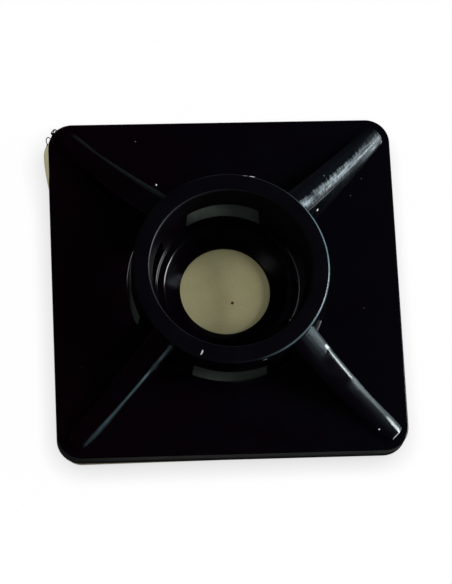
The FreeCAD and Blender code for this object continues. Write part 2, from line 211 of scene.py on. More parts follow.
@dataclass(frozen=True)
class Shell:
    """Closed mesh as arrays, in millimetres: quads, and rings of points that one flat face closes."""

    points: np.ndarray
    quads: np.ndarray
    caps: tuple[np.ndarray, ...] = ()

    @staticmethod
    def tube(grid: np.ndarray) -> "Shell":
        """Shell from a (rows, columns, 3) grid whose rows are closed rings, with a flat face on each end."""
        rows, columns = grid.shape[:2]
        first = np.arange(columns)[::-1]
        last = np.arange(columns) + (rows - 1) * columns
        return Shell(grid.reshape(-1, 3), grid_faces(rows, columns, False), (first, last))

    @staticmethod
    def ring(grid: np.ndarray) -> "Shell":
        """Shell from a (rows, columns, 3) grid that closes both ways, with its rows clockwise in section."""
        return Shell(grid.reshape(-1, 3), grid_faces(*grid.shape[:2], True)[:, ::-1])

    @staticmethod
    def merge(shells: list["Shell"]) -> "Shell":
        """One shell that holds several, each still closed by itself."""
        starts = np.cumsum([0] + [len(shell.points) for shell in shells[:-1]])
        points = np.concatenate([shell.points for shell in shells])
        quads = np.concatenate([shell.quads + start for shell, start in zip(shells, starts)])
        caps = tuple(cap + start for shell, start in zip(shells, starts) for cap in shell.caps)
        return Shell(points, quads, caps)

    def moved(self, shift: np.ndarray) -> "Shell":
        """The same shell somewhere else."""
        return Shell(self.points + shift, self.quads, self.caps)

    def turned(self, quarter: float) -> "Shell":
        """The same shell turned about the Z axis by a number of quarter turns."""
        return Shell(turn_about_z(self.points, quarter), self.quads, self.caps)

    def each_quarter(self) -> "Shell":
        """The same shell at each of the four quarter turns about the Z axis."""
        return Shell.merge([self.turned(quarter) for quarter in range(QUARTERS)])

    def to_object(self, name: str) -> bpy.types.Object:
        """Put the shell into a new mesh object, in metres, at the origin.

        Args:
            name: name of the piece.

        Returns:
            The object, linked to the scene.
        """
        mesh = bpy.data.meshes.new(name)
        corner_points = np.concatenate([self.quads.ravel(), *self.caps]).astype(np.int32)
        counts = np.array([4] * len(self.quads) + [len(cap) for cap in self.caps], dtype=np.int32)
        starts = np.concatenate([[0], np.cumsum(counts)[:-1]]).astype(np.int32)
        mesh.vertices.add(len(self.points))
        mesh.vertices.foreach_set("co", (self.points * MM).astype(np.float32).ravel())
        mesh.loops.add(len(corner_points))
        mesh.loops.foreach_set("vertex_index", corner_points)
        mesh.polygons.add(len(counts))
        mesh.polygons.foreach_set("loop_start", starts)
        mesh.polygons.foreach_set("loop_total", counts)
        mesh.update(calc_edges=True)
        mesh.validate()
        made = bpy.data.objects.new(name, mesh)
        bpy.context.scene.collection.objects.link(made)
        return made


def ball_shell(sizes: Triple, seed: int, uneven: float = 0.12) -> Shell:
    """Ball by latitude and longitude with flat ends, swollen unevenly by seeded draws.

    Args:
        sizes: half lengths along X, Y and Z.
        seed: which draws.
        uneven: largest share by which a ring or a column swells.

    Returns:
        The closed shell about the origin.
    """
    rings, sides, last_ring_deg = 8, 12, 76
    draws = np.random.default_rng(seed)
    latitude = np.radians(np.linspace(-last_ring_deg, last_ring_deg, rings))[:, None]
    longitude = np.linspace(0, 2 * math.pi, sides, endpoint=False)[None]
    swell = 1 + uneven * draws.uniform(-1, 1, (rings, 1)) + uneven * draws.uniform(-1, 1, (1, sides))
    x = np.cos(latitude) * np.cos(longitude) * swell
    y = np.cos(latitude) * np.sin(longitude) * swell
    z = np.broadcast_to(np.sin(latitude), x.shape)
    return Shell.tube(np.stack([x, y, z], axis=-1) * np.array(sizes))


def thread_shell(controls: np.ndarray, radius: float, steps: int = 8, sides: int = 8) -> Shell:
    """Thin thread along a smooth path.

    The path is the cubic that passes through every control point with the slope from its neighbour before to
    its neighbour after. Each ring lies across the path's tangent, and its first point is square to an upward
    direction that no part of the path follows.

    Args:
        controls: (n, 3) points.
        radius: radius of the thread.
        steps: rings between two control points.
        sides: points on a ring.

    Returns:
        The closed shell.
    """
    upright = np.array([0.12, 0.07, 1.0])
    padded = np.concatenate([2 * controls[:1] - controls[1:2], controls, 2 * controls[-1:] - controls[-2:-1]])
    start, end = padded[1:-2, None], padded[2:-1, None]
    leave, arrive = (padded[2:-1] - padded[:-3])[:, None] / 2, (padded[3:] - padded[1:-2])[:, None] / 2
    t = np.linspace(0, 1, steps, endpoint=False)[None, :, None]
    path = (2 * t**3 - 3 * t**2 + 1) * start + (t**3 - 2 * t**2 + t) * leave
    path = path + (3 * t**2 - 2 * t**3) * end + (t**3 - t**2) * arrive
    path = np.concatenate([path.reshape(-1, 3), controls[-1:]])
    tangent = np.gradient(path, axis=0)
    tangent /= np.linalg.norm(tangent, axis=1, keepdims=True)
    level = np.cross(upright, tangent)
    level /= np.linalg.norm(level, axis=1, keepdims=True)
    upward = np.cross(tangent, level)
    angle = np.linspace(0, 2 * math.pi, sides, endpoint=False)[None, :, None]
    ring = np.cos(angle) * level[:, None] + np.sin(angle) * upward[:, None]
    return Shell.tube(path[:, None] + radius * ring)


def work_on(target: bpy.types.Object, tool: bpy.types.Object, cut: Cut) -> None:
    """Join a closed mesh to another or take it away, keep the result, and remove the tool.

    Args:
        target: object whose mesh is replaced by the result.
        tool: object that is used up.
        cut: what is done with it.
    """
    modifier = target.modifiers.new("work", "BOOLEAN")
    modifier.operation = cut.value
    modifier.solver = "MANIFOLD"
    modifier.object = tool
    depsgraph = bpy.context.evaluated_depsgraph_get()
    result = bpy.data.meshes.new_from_object(target.evaluated_get(depsgraph))
    target.modifiers.remove(modifier)
    old_mesh, tool_mesh = target.data, tool.data
    name = old_mesh.name
    target.data = result
    bpy.data.objects.remove(tool)
    bpy.data.meshes.remove(old_mesh)
    bpy.data.meshes.remove(tool_mesh)
    result.name = name


def shade(piece: bpy.types.Object, sharp_deg: float) -> None:
    """Shade a piece smooth, except over edges that turn by more than an angle."""
    mesh = piece.data
    mesh.polygons.foreach_set("use_smooth", np.ones(len(mesh.polygons), dtype=bool))
    mesh.set_sharp_from_angle(angle=math.radians(sharp_deg))
    mesh.update()


def points_of(piece: bpy.types.Object) -> np.ndarray:
    """(n, 3) points of a piece's mesh in millimetres."""
    flat = np.empty(len(piece.data.vertices) * 3, dtype=np.float32)
    piece.data.vertices.foreach_get("co", flat)
    return flat.reshape(-1, 3).astype(float) / MM


def set_attribute(piece: bpy.types.Object, name: str, values: np.ndarray) -> None:
    """Store one number for each point of a piece, for its material to read."""
    attribute = piece.data.attributes.new(name, "FLOAT", "POINT")
    attribute.data.foreach_set("value", values.astype(np.float32))


# Shader graphs.


def spaced(inputs: dict[str, object]) -> dict[str, object]:
    """The same inputs under names with spaces for their underscores."""
    return {name.replace("_", " "): value for name, value in inputs.items()}


class Graph:
    """Adds nodes to one shader tree and joins them."""

    def __init__(self, tree: bpy.types.NodeTree) -> None:
        """Work on a tree from which older nodes are cleared."""
        self.tree = tree
        tree.nodes.clear()

    def add(self, kind: str, inputs: dict | None = None, **settings: object) -> bpy.types.Node:
        """Add a node.

        Args:
            kind: type of the node.
            inputs: value or linked socket for each input, by name or number.
            settings: properties of the node itself.

        Returns:
            The node.
        """
        node = self.tree.nodes.new(kind)
        for key, value in settings.items():
            setattr(node, key, value)
        for key, value in (inputs or {}).items():
            if isinstance(value, bpy.types.NodeSocket):
                self.tree.links.new(value, node.inputs[key])
            else:
                node.inputs[key].default_value = value
        return node

    def math(self, operation: str, *values: Socket | float, clamp: bool = False) -> Socket:
        """Result of a Math node on one to three values."""
        inputs = dict(enumerate(values))
        return self.add("ShaderNodeMath", inputs, operation=operation, use_clamp=clamp).outputs[0]

    def times(self, *values: Socket | float) -> Socket:
        """Product of two values or more."""
        product = values[0]
        for value in values[1:]:
            product = self.math("MULTIPLY", product, value)
        return product

    def mix(self, share: Socket, low: Socket | Colour, high: Socket | Colour) -> Socket:
        """Colour between two colours."""
        inputs = {0: share, 6: low, 7: high}
        return self.add("ShaderNodeMix", inputs, data_type="RGBA", clamp_factor=True).outputs[2]

    def ramp(self, value: Socket, low: float, high: float, start: float = 0.0, end: float = 1.0) -> Socket:
        """Smooth step of a value from start to end while it goes from low to high."""
        inputs = {"Value": value, "From Min": low, "From Max": high, "To Min": start, "To Max": end}
        return self.add("ShaderNodeMapRange", inputs, interpolation_type="SMOOTHSTEP").outputs[0]

    def noise(self, place: Socket, scale: Socket | float, detail: float = 3.0, rough: float = 0.5) -> Socket:
        """Value of a noise at a place."""
        inputs = {"Vector": place, "Scale": scale, "Detail": detail, "Roughness": rough}
        return self.add("ShaderNodeTexNoise", inputs).outputs[0]

    def split(self, place: Socket) -> tuple[Socket, Socket, Socket]:
        """The three coordinates of a place."""
        return tuple(self.add("ShaderNodeSeparateXYZ", {0: place}).outputs)

    def bump(self, height: Socket, strength: float, distance: float) -> Socket:
        """Normal of a surface that rises by a height."""
        inputs = {"Height": height, "Strength": strength, "Distance": distance}
        return self.add("ShaderNodeBump", inputs).outputs[0]

    def effect(self, group: bpy.types.NodeTree, place: Socket, **inputs: float) -> bpy.types.NodeOutputs:
        """What a shared group puts out at a place, with its inputs named with _ for the spaces."""
        return self.add("ShaderNodeGroup", {"Vector": place, **spaced(inputs)}, node_tree=group).outputs

    def surface(self, **inputs: Socket | float | Colour) -> None:
        """Finish a material with its shader, whose inputs are named with _ for the spaces."""
        shader = self.add("ShaderNodeBsdfPrincipled", spaced(inputs))
        self.add("ShaderNodeOutputMaterial", {"Surface": shader.outputs[0]})

    def profile(self, value: Socket, stops: Stops) -> Socket:
        """Level between 0 and 1 that follows a value through places and levels, joined smoothly.

        Args:
            value: the value that is followed.
            stops: (place, level) pairs, from the lowest place up.

        Returns:
            The level.
        """
        low, high = stops[0][0], stops[-1][0]
        place = self.add("ShaderNodeMapRange", {"Value": value, "From Min": low, "From Max": high}).outputs[0]
        node = self.add("ShaderNodeValToRGB", {"Fac": place})
        elements = node.color_ramp.elements
        node.color_ramp.interpolation = "EASE"
        elements[0].color = (*[stops[0][1]] * 3, 1.0)
        elements[1].color = (*[stops[-1][1]] * 3, 1.0)
        for stop, level in stops[1:-1]:
            elements.new((stop - low) / (high - low)).color = (*[level] * 3, 1.0)
        return node.outputs["Color"]

    def attribute(self, name: str) -> Socket:
        """Number that a mesh holds for each point."""
        return self.add("ShaderNodeAttribute", attribute_name=name).outputs["Fac"]


@dataclass(frozen=True)
class Effect:
    """Shader group that several materials share: its numbers with their usual values, and what it puts out.

    Its first input is the place on the piece, called Vector.
    """

    name: str
    inputs: dict[str, float]
    outputs: tuple[str, ...]

    def start(self) -> tuple[Graph, bpy.types.NodeOutputs]:
        """Make the empty group with its sockets.

        Returns:
            A graph on the group's tree, and the values that it is given.
        """
        tree = bpy.data.node_groups.new(self.name, "ShaderNodeTree")
        tree.interface.new_socket(name="Vector", in_out="INPUT", socket_type="NodeSocketVector")
        for name, value in self.inputs.items():
            socket = tree.interface.new_socket(name=name, in_out="INPUT", socket_type="NodeSocketFloat")
            socket.default_value = value
        for name in self.outputs:
            tree.interface.new_socket(name=name, in_out="OUTPUT", socket_type="NodeSocketFloat")
        graph = Graph(tree)
        return graph, graph.add("NodeGroupInput").outputs


class Effects:
    """The shared shader groups, each built once."""

    def __init__(self) -> None:
        """Build every group."""
        self.grain = self._grain()
        self.dust = self._dust()
        self.scratches = self._scratches()

    @staticmethod
    def _grain() -> bpy.types.NodeTree:
        """Fine uneven skin: a fine noise as a height, and a slow one as a blotch."""
        effect = Effect("skin_grain", {"Scale": 4000.0, "Blotch Scale": 500.0}, ("Height", "Blotch"))
        graph, given = effect.start()
        fine = graph.noise(given["Vector"], given["Scale"], detail=4.0, rough=0.65)
        slow = graph.noise(given["Vector"], given["Blotch Scale"])
        graph.add("NodeGroupOutput", {"Height": fine, "Blotch": slow})
        return graph.tree

    @staticmethod
    def _dust() -> bpy.types.NodeTree:
        """Sparse round specks: cells of a scattered lattice, of which few hold a speck of their own size."""
        effect = Effect("dust_specks", {"Scale": 1500.0, "Share": 0.05, "Size": 0.2}, ("Mask",))
        graph, given = effect.start()
        cells = graph.add("ShaderNodeTexVoronoi", {"Vector": given["Vector"], "Scale": given["Scale"]})
        pick = graph.add("ShaderNodeSeparateColor", {0: cells.outputs["Color"]})
        chosen = graph.math("LESS_THAN", pick.outputs[0], given["Share"])
        size = graph.times(given["Size"], pick.outputs[1])
        inside = graph.math("LESS_THAN", cells.outputs["Distance"], size)
        graph.add("NodeGroupOutput", {"Mask": graph.times(chosen, inside)})
        return graph.tree

    @staticmethod
    def _scratches() -> bpy.types.NodeTree:
        """Fine lines: the places where a noise passes through its middle value, broken by a slower one."""
        effect = Effect("fine_scratches", {"Scale": 1.0, "Width": 0.02, "Cover": 0.5}, ("Mask",))
        graph, given = effect.start()
        middle, patch_scale = 0.5, 0.4
        level = graph.noise(given["Vector"], given["Scale"], detail=2.0)
        away = graph.math("ABSOLUTE", graph.math("SUBTRACT", level, middle))
        line = graph.math("SUBTRACT", 1.0, graph.math("DIVIDE", away, given["Width"]), clamp=True)
        patch = graph.noise(given["Vector"], graph.times(given["Scale"], patch_scale), detail=2.0)
        kept = graph.math("LESS_THAN", patch, given["Cover"])
        graph.add("NodeGroupOutput", {"Mask": graph.times(line, kept)})
        return graph.tree


def new_material(name: str) -> tuple[bpy.types.Material, Graph, Socket]:
    """Empty material with its graph and the object's own coordinates."""
    material = bpy.data.materials.new(name)
    material.use_nodes = True
    graph = Graph(material.node_tree)
    place = graph.add("ShaderNodeTexCoord").outputs["Object"]
    return material, graph, place


# Finishes.


@dataclass(frozen=True)
class WearAndPaintedLight:
    """Stretch of one rib painted in another colour, as a painted highlight, sheen or shade, or as a scuff
    that holds a painted highlight: its strength along and across the rib, in millimetres.

    Its line drifts sideways with the distance from a pivot, bows halfway along the rib, and spreads or
    narrows about its centre. Its edges are ragged, its middle is streaky, and it dulls the gloss.
    """

    corner: Corner
    colour: Triple
    along: Stops
    across: Stops
    drift: float = 0.0
    pivot: float = 9.0
    bow: float = 0.0
    bow_line: Stops = ((5.5, 0.0), (9.2, 1.0), (13.0, 0.0))
    spread: Stops = ()
    centre: float = 0.0
    ragged: float = 0.0
    streaks: float = 0.0
    dulling: float = 0.0

    def share(self, graph: Graph, place: tuple[Socket, Socket], noises: tuple[Socket, Socket]) -> Socket:
        """How much of the stretch shows at a place: the product of both profiles, thinned by streaks.

        Args:
            graph: the material's graph.
            place: distance along the rib and across it, in millimetres.
            noises: the noise that pulls the edges sideways and the one that streaks the middle.

        Returns:
            The share.
        """
        along, across = place
        pull, streak = noises
        moved = graph.math("MULTIPLY_ADD", graph.math("SUBTRACT", along, self.pivot), -self.drift, across)
        if self.bow:
            moved = graph.math("MULTIPLY_ADD", graph.profile(along, self.bow_line), -self.bow, moved)
        if self.spread:
            away = graph.math("SUBTRACT", moved, self.centre)
            away = graph.math("DIVIDE", away, graph.profile(along, self.spread))
            moved = graph.math("ADD", away, self.centre)
        pull = graph.math("SUBTRACT", pull, 0.5)
        moved = graph.math("MULTIPLY_ADD", pull, self.ragged, moved)
        thin = graph.math("MULTIPLY_ADD", streak, self.streaks, 1.0 - self.streaks)
        profiles = graph.profile(along, self.along), graph.profile(moved, self.across)
        return graph.times(*profiles, thin, graph.attribute(rib_mark(self.corner)))


# Painted highlights, sheens and shade of the ribs, and a scuff with its highlight painted in: the far right
# rib first, then the near right, near left and far left ones.

# Scuffed crest of the far right rib, whose bright highlight is painted into the colour.
SCUFF_HIGHLIGHT = WearAndPaintedLight(
    Corner.FAR_RIGHT,
    (0.46, 0.55, 0.59),
    ((5.5, 0.7), (5.9, 1.0), (6.5, 0.8), (6.8, 0.35), (7.1, 0.6), (7.6, 0.9), (9.0, 1.0), (9.8, 1.0),
     (10.4, 0.55), (11.2, 0.75), (11.8, 0.6), (12.8, 0.42), (13.12, 0.5)),
    ((-0.86, 0.0), (-0.74, 0.04), (-0.64, 0.08), (-0.55, 0.6), (-0.46, 0.95), (-0.33, 0.85), (-0.2, 0.4),
     (-0.08, 0.0)),
    ragged=0.6,
    streaks=0.8,
    dulling=0.8,
)
# Brighter lower edge of the scuff towards the far right rib's nose: painted highlight.
SCUFF_HIGHLIGHT_END = WearAndPaintedLight(
    Corner.FAR_RIGHT,
    (0.26, 0.31, 0.33),
    ((10.8, 0.0), (11.8, 0.6), (12.6, 1.0), (13.05, 0.6)),
    ((-0.85, 0.3), (-0.7, 0.9), (-0.6, 0.7), (-0.4, 0.3), (-0.1, 0.12), (0.15, 0.0)),
    ragged=0.3,
    streaks=0.5,
)
# Dim painted sheen on the far right rib's lower right shoulder, where the gloss is also dulled.
SHOULDER_SHEEN = WearAndPaintedLight(
    Corner.FAR_RIGHT,
    (0.012, 0.017, 0.021),
    ((5.4, 1.0), (8.0, 0.9), (9.5, 0.75), (13.12, 0.7)),
    ((-0.77, 0.0), (-0.72, 1.0), (-0.57, 1.0), (-0.5, 0.0)),
    dulling=0.35,
)
FAR_SHEEN = WearAndPaintedLight(
    Corner.FAR_RIGHT,
    (0.0045, 0.0065, 0.0085),
    ((5.6, 0.6), (9.0, 1.0), (12.0, 0.8), (13.1, 0.35)),
    ((-0.3, 1.0), (0.1, 1.0), (0.4, 0.5), (0.6, 0.7), (0.9, 0.4)),
    ragged=0.6,
    streaks=0.3,
)
ROOT_GLEAM = WearAndPaintedLight(
    Corner.NEAR_RIGHT,
    (0.105, 0.145, 0.165),
    ((5.5, 1.0), (6.5, 0.8), (7.0, 0.6), (7.25, 0.15), (7.5, 0.0)),
    ((-0.35, 0.0), (-0.15, 0.06), (0.0, 0.1), (0.1, 0.2), (0.25, 0.24), (0.35, 0.42), (0.45, 0.9),
     (0.55, 0.85), (0.65, 0.55), (0.8, 0.35)),
    ragged=0.12,
    streaks=0.25,
    dulling=1.0,
)
EDGE_GLEAM = WearAndPaintedLight(
    Corner.NEAR_RIGHT,
    (0.3, 0.36, 0.38),
    ((6.7, 0.0), (6.95, 1.0), (7.1, 0.9), (7.3, 0.35), (7.5, 0.6), (8.8, 0.6), (9.2, 0.4), (9.5, 0.0)),
    ((0.4, 0.0), (0.47, 0.45), (0.55, 1.0), (0.62, 0.55), (0.72, 0.12), (0.82, 0.05)),
    ragged=0.1,
)
LONG_GLEAM = WearAndPaintedLight(
    Corner.NEAR_RIGHT,
    (0.15, 0.19, 0.205),
    ((8.9, 0.0), (9.4, 1.0), (10.4, 0.85), (11.5, 0.75), (12.2, 0.8), (13.05, 0.5)),
    ((-0.2, 0.0), (0.0, 0.03), (0.1, 0.06), (0.25, 0.12), (0.35, 0.33), (0.45, 0.84), (0.55, 0.85),
     (0.65, 0.65), (0.78, 0.7)),
    ragged=0.16,
    streaks=0.35,
    dulling=1.0,
)
NOSE_GLEAM = WearAndPaintedLight(
    Corner.NEAR_RIGHT,
    (0.75, 0.82, 0.84),
    ((11.8, 0.0), (12.2, 0.7), (12.5, 1.0), (13.2, 1.0)),
    ((0.55, 0.0), (0.62, 0.9), (0.68, 1.0), (0.75, 0.35), (0.83, 0.0)),
    drift=-0.09,
    ragged=0.08,
)
END_GLEAM = WearAndPaintedLight(
    Corner.NEAR_RIGHT,
    (0.7, 0.78, 0.8),
    ((13.0, 0.0), (13.06, 1.0), (13.14, 1.0)),
    ((-0.3, 0.0), (-0.2, 0.7), (0.1, 0.7), (0.35, 1.0)),
)
# Painted glint beside the nick in the near right rib.
NICK_GLINT = WearAndPaintedLight(
    Corner.NEAR_RIGHT,
    (0.8, 0.86, 0.88),
    ((6.72, 0.0), (6.84, 1.0), (6.98, 1.0), (7.06, 0.0)),
    ((0.5, 0.0), (0.56, 1.0), (0.64, 1.0), (0.73, 0.0)),
    ragged=0.06,
)
# Painted shade in the nick of the near right rib.
NICK_SHADE = WearAndPaintedLight(
    Corner.NEAR_RIGHT,
    (0.002, 0.002, 0.003),
    ((7.0, 0.0), (7.07, 1.0), (7.22, 1.0), (7.3, 0.0)),
    ((0.3, 0.0), (0.36, 1.0), (0.49, 1.0), (0.54, 0.0)),
)
# Painted teal highlight, a window's reflection, along the near left rib's lower right shoulder.
TEAL_HIGHLIGHT = WearAndPaintedLight(
    Corner.NEAR_LEFT,
    (0.11, 0.19, 0.21),
    ((5.5, 0.25), (5.8, 0.3), (6.4, 0.5), (6.8, 0.25), (7.1, 0.25), (7.6, 1.0), (8.2, 0.65), (8.8, 0.55),
     (9.4, 0.42), (10.0, 0.35), (10.6, 0.4), (11.2, 0.32), (11.8, 0.22), (12.4, 0.17), (12.75, 0.0)),
    ((0.46, 0.0), (0.53, 0.6), (0.58, 1.0), (0.62, 0.9), (0.68, 0.35), (0.76, 0.0)),
    spread=((5.5, 1.1), (6.6, 0.8), (6.95, 1.2), (7.4, 0.66), (9.0, 0.62), (10.2, 0.85), (12.0, 1.05),
            (12.8, 0.8)),
    centre=0.585,
    ragged=0.06,
    streaks=0.25,
)
# Dim painted highlight along the far left rib's upper right shoulder.
DIM_HIGHLIGHT = WearAndPaintedLight(
    Corner.FAR_LEFT,
    (0.0085, 0.0115, 0.0115),
    ((5.5, 1.0), (9.6, 1.0), (10.5, 0.8), (12.4, 0.9), (12.8, 0.0)),
    ((-0.95, 1.0), (-0.7, 1.0), (-0.5, 0.75), (-0.36, 0.0)),
    bow=-0.03,
    ragged=0.05,
)
# Every painted highlight, sheen and shade of the ribs, and the scuff, in the order in which they are laid on.
WEAR_AND_PAINTED_LIGHT = (
    FAR_SHEEN, SHOULDER_SHEEN, SCUFF_HIGHLIGHT, SCUFF_HIGHLIGHT_END, ROOT_GLEAM, LONG_GLEAM, EDGE_GLEAM, NOSE_GLEAM, END_GLEAM,
    NICK_GLINT, NICK_SHADE, TEAL_HIGHLIGHT, DIM_HIGHLIGHT,
)


@dataclass(frozen=True)
class NylonFinish:
    """Black moulded nylon: glossy plate and bowl, duller walls and rim, a sheen painted towards the right, a
    floor reflection painted on the plate's sides, highlights painted on the rim's edges, and highlights,
    sheens and shade painted on the ribs, one of which is scuffed.

    Distances are in metres, as the object's coordinates are, apart from those along and across a rib, which
    the mesh holds in millimetres. A step has the two places between which it runs and its two levels.
    """

    left_colour: Colour = (0.0020, 0.0001, 0.0013, 1.0)
    # Lighter, bluer black at the right, the lamp's side: painted sheen.
    right_sheen_colour: Colour = (0.0016, 0.0014, 0.0032, 1.0)
    # Grey of the plate's sides: painted reflection of the floor.
    side_reflection_colour: Colour = (0.044, 0.050, 0.043, 1.0)
    rim_colour: Colour = (0.0017, 0.0010, 0.0028, 1.0)
    dust_colour: Colour = (0.12, 0.13, 0.13, 1.0)
    # Painted highlight on the rim's outer edge, brightest at the right, where the lamp is.
    outer_edge_highlight_colour: Colour = (0.15, 0.23, 0.27, 1.0)
    # Dim bluish painted highlight on the rim's inner edge, brightest at the left.
    inner_edge_highlight_colour: Colour = (0.005, 0.009, 0.014, 1.0)
    index: float = 1.42
    roughness: float = 0.12
    rim_roughness: float = 0.24
    wall_roughness: float = 0.3
    worn_roughness: float = 0.5
    uneven_roughness: Step = (0.35, 0.65, -0.02, 0.03)
    # How fast the painted sheen grows towards the right.
    sheen_slope: float = 60.0
    hue_blotch: float = 1.6
    hue_start: float = -0.3
    dust_scale: float = 5200.0
    dust_share: float = 0.006
    dust_strength: float = 0.5
    # The sides stay black low down, as painted shade at the floor, and their painted reflection fades towards
    # the left.
    side_shade_height: Step = (0.0015, 0.00195, 0.0, 1.0)
    side_shade_width: Step = (-0.0098, -0.005, 0.35, 1.0)
    side_mottle: Step = (0.3, 0.7, 0.7, 1.0)
    # Height above which the painted edge highlights show, and their blotches.
    edge_height: Step = (0.00573, 0.0058, 0.0, 1.0)
    edge_mottle: Step = (0.3, 0.6, 0.6, 1.0)
    # Strength of the painted highlights on the rim's outer and inner edges by bearing round the axis.
    outer_edge_highlight: Stops = (
        (-3.15, 0.0), (-1.4, 0.02), (-0.95, 0.4), (-0.5, 0.75), (0.1, 1.0), (0.5, 0.85), (0.7, 0.5),
        (0.82, 0.15), (1.0, 0.06), (1.6, 0.05), (2.2, 0.01), (3.15, 0.0),
    )
    inner_edge_highlight: Stops = (
        (-3.15, 1.0), (-2.3, 0.6), (-1.5, 0.3), (-0.8, 0.5), (0.2, 0.2), (1.2, 0.3), (2.0, 0.5), (2.6, 1.0),
        (3.15, 1.0),
    )
    # Painted highlights, sheens and shade on the ribs, and the scuff with its painted highlight.
    wear_and_painted_light: tuple[WearAndPaintedLight, ...] = WEAR_AND_PAINTED_LIGHT
    streak_slant: float = -0.55
    crosswise_scale: Triple = (6.5, 1.6, 1.0)
    lengthwise_scale: Triple = (0.9, 9.0, 1.0)
    fine_streak_scale: float = 1.7
    streak_step: Step = (0.14, 0.36, 0.0, 1.0)
    dulled_step: Step = (0.0, 0.5, 0.0, 1.0)
    grain_height: float = 0.5
    streak_height: float = 2.0
    bump_strength: float = 0.35
    bump_distance: float = 0.000012

    def build(self, effects: Effects) -> bpy.types.Material:
        """Make the material.

        Args:
            effects: the shared shader groups.

        Returns:
            The material.
        """
        material, graph, place = new_material("black_nylon")
        grain = graph.effect(effects.grain, place)
        x, y, z = graph.split(place)
        high = graph.ramp(z, *self.edge_height)
        # Upper part of the plate's sides, which takes the painted reflection; below it they stay black as
        # painted shade.
        upper_side = graph.times(graph.attribute("side"), graph.ramp(z, *self.side_shade_height))
        colour = self.tone_and_sheen_colour(graph, grain["Blotch"], x)
        dust = graph.effect(effects.dust, place, Scale=self.dust_scale, Share=self.dust_share)
        colour = graph.mix(graph.times(dust["Mask"], self.dust_strength), colour, self.dust_colour)
        mottle = graph.times(graph.ramp(grain["Blotch"], *self.side_mottle), upper_side)
        # Painted floor reflection on the plate's sides, weaker towards the left.
        colour = graph.mix(graph.times(mottle, graph.ramp(x, *self.side_shade_width)), colour, self.side_reflection_colour)
        colour = graph.mix(graph.attribute("rim"), colour, self.rim_colour)
        # Painted highlights on the rim's outer and inner edges, by bearing round the axis.
        edges = (
            ("outer_edge_highlight", self.outer_edge_highlight, self.outer_edge_highlight_colour),
            ("inner_edge_highlight", self.inner_edge_highlight, self.inner_edge_highlight_colour),
        )
        bearing = graph.math("ARCTAN2", y, x)
        blotched = graph.ramp(grain["Blotch"], *self.edge_mottle)
        for mark, stops, tint in edges:
            share = graph.times(graph.profile(bearing, stops), graph.attribute(mark), high, blotched)
            colour = graph.mix(share, colour, tint)
        along, across = graph.attribute("along"), graph.attribute("across")
        noises = self.streaks(graph, along, across)
        dulled = 0.0
        for wear_and_painted_light in self.wear_and_painted_light:
            share = wear_and_painted_light.share(graph, (along, across), noises)
            colour = graph.mix(share, colour, (*wear_and_painted_light.colour, 1.0))
            if wear_and_painted_light.dulling:
                dulled = graph.math("MAXIMUM", dulled, graph.times(share, wear_and_painted_light.dulling))
        worn = graph.ramp(dulled, *self.dulled_step)
        rough = graph.math("ADD", self.roughness, graph.ramp(grain["Blotch"], *self.uneven_roughness))
        duller = (
            (graph.attribute("rim"), self.rim_roughness),
            (graph.attribute("wall"), self.wall_roughness),
            (upper_side, self.worn_roughness),
            (graph.times(graph.attribute("inner_edge_highlight"), high), self.worn_roughness),
        )
        for share, value in duller:
            rough = graph.math("MULTIPLY_ADD", share, value - self.roughness, rough)
        rough = graph.math("MULTIPLY_ADD", worn, self.worn_roughness - self.roughness, rough, clamp=True)
        height = graph.times(grain["Height"], self.grain_height)
        height = graph.math("MULTIPLY_ADD", worn, graph.times(noises[1], self.streak_height), height)
        normal = graph.bump(height, self.bump_strength, self.bump_distance)
        graph.surface(Base_Color=colour, Roughness=rough, IOR=self.index, Normal=normal)
        return material

    def tone_and_sheen_colour(self, graph: Graph, blotch: Socket, x: Socket) -> Socket:
        """Colour of the bare nylon with a painted sheen: it turns from a purple black at the left to a
        lighter, bluer black at the right, the lamp's side, over the middle of the part, and is blotched at
        random.
        """
        hue = graph.math("MULTIPLY_ADD", blotch, self.hue_blotch, self.hue_start)
        hue = graph.math("MULTIPLY_ADD", x, self.sheen_slope, hue)
        return graph.mix(hue, self.left_colour, self.right_sheen_colour)

    def streaks(self, graph: Graph, along: Socket, across: Socket) -> tuple[Socket, Socket]:
        """Noises of the painted stretches and the scuff on the ribs.

        Args:
            graph: the material's graph.
            along: distance along the rib.
            across: distance across the rib.

        Returns:
            The noise that pulls the edges of the painted stretches sideways, and the slanted streaks in their
            middle.
        """
        slanted = graph.math("MULTIPLY_ADD", across, self.streak_slant, along)
        flat = graph.add("ShaderNodeCombineXYZ", {"X": slanted, "Y": across}).outputs[0]
        scales = self.crosswise_scale, self.lengthwise_scale
        crosswise, lengthwise = (
            graph.add("ShaderNodeMapping", {"Vector": flat, "Scale": scale}).outputs[0] for scale in scales
        )
        pull = graph.noise(crosswise, 1.0, rough=0.6)
        drawn = graph.noise(lengthwise, 1.0, rough=0.6)
        fine = graph.noise(crosswise, self.fine_streak_scale, detail=4.0, rough=0.7)
        return pull, graph.ramp(graph.times(fine, drawn), *self.streak_step)


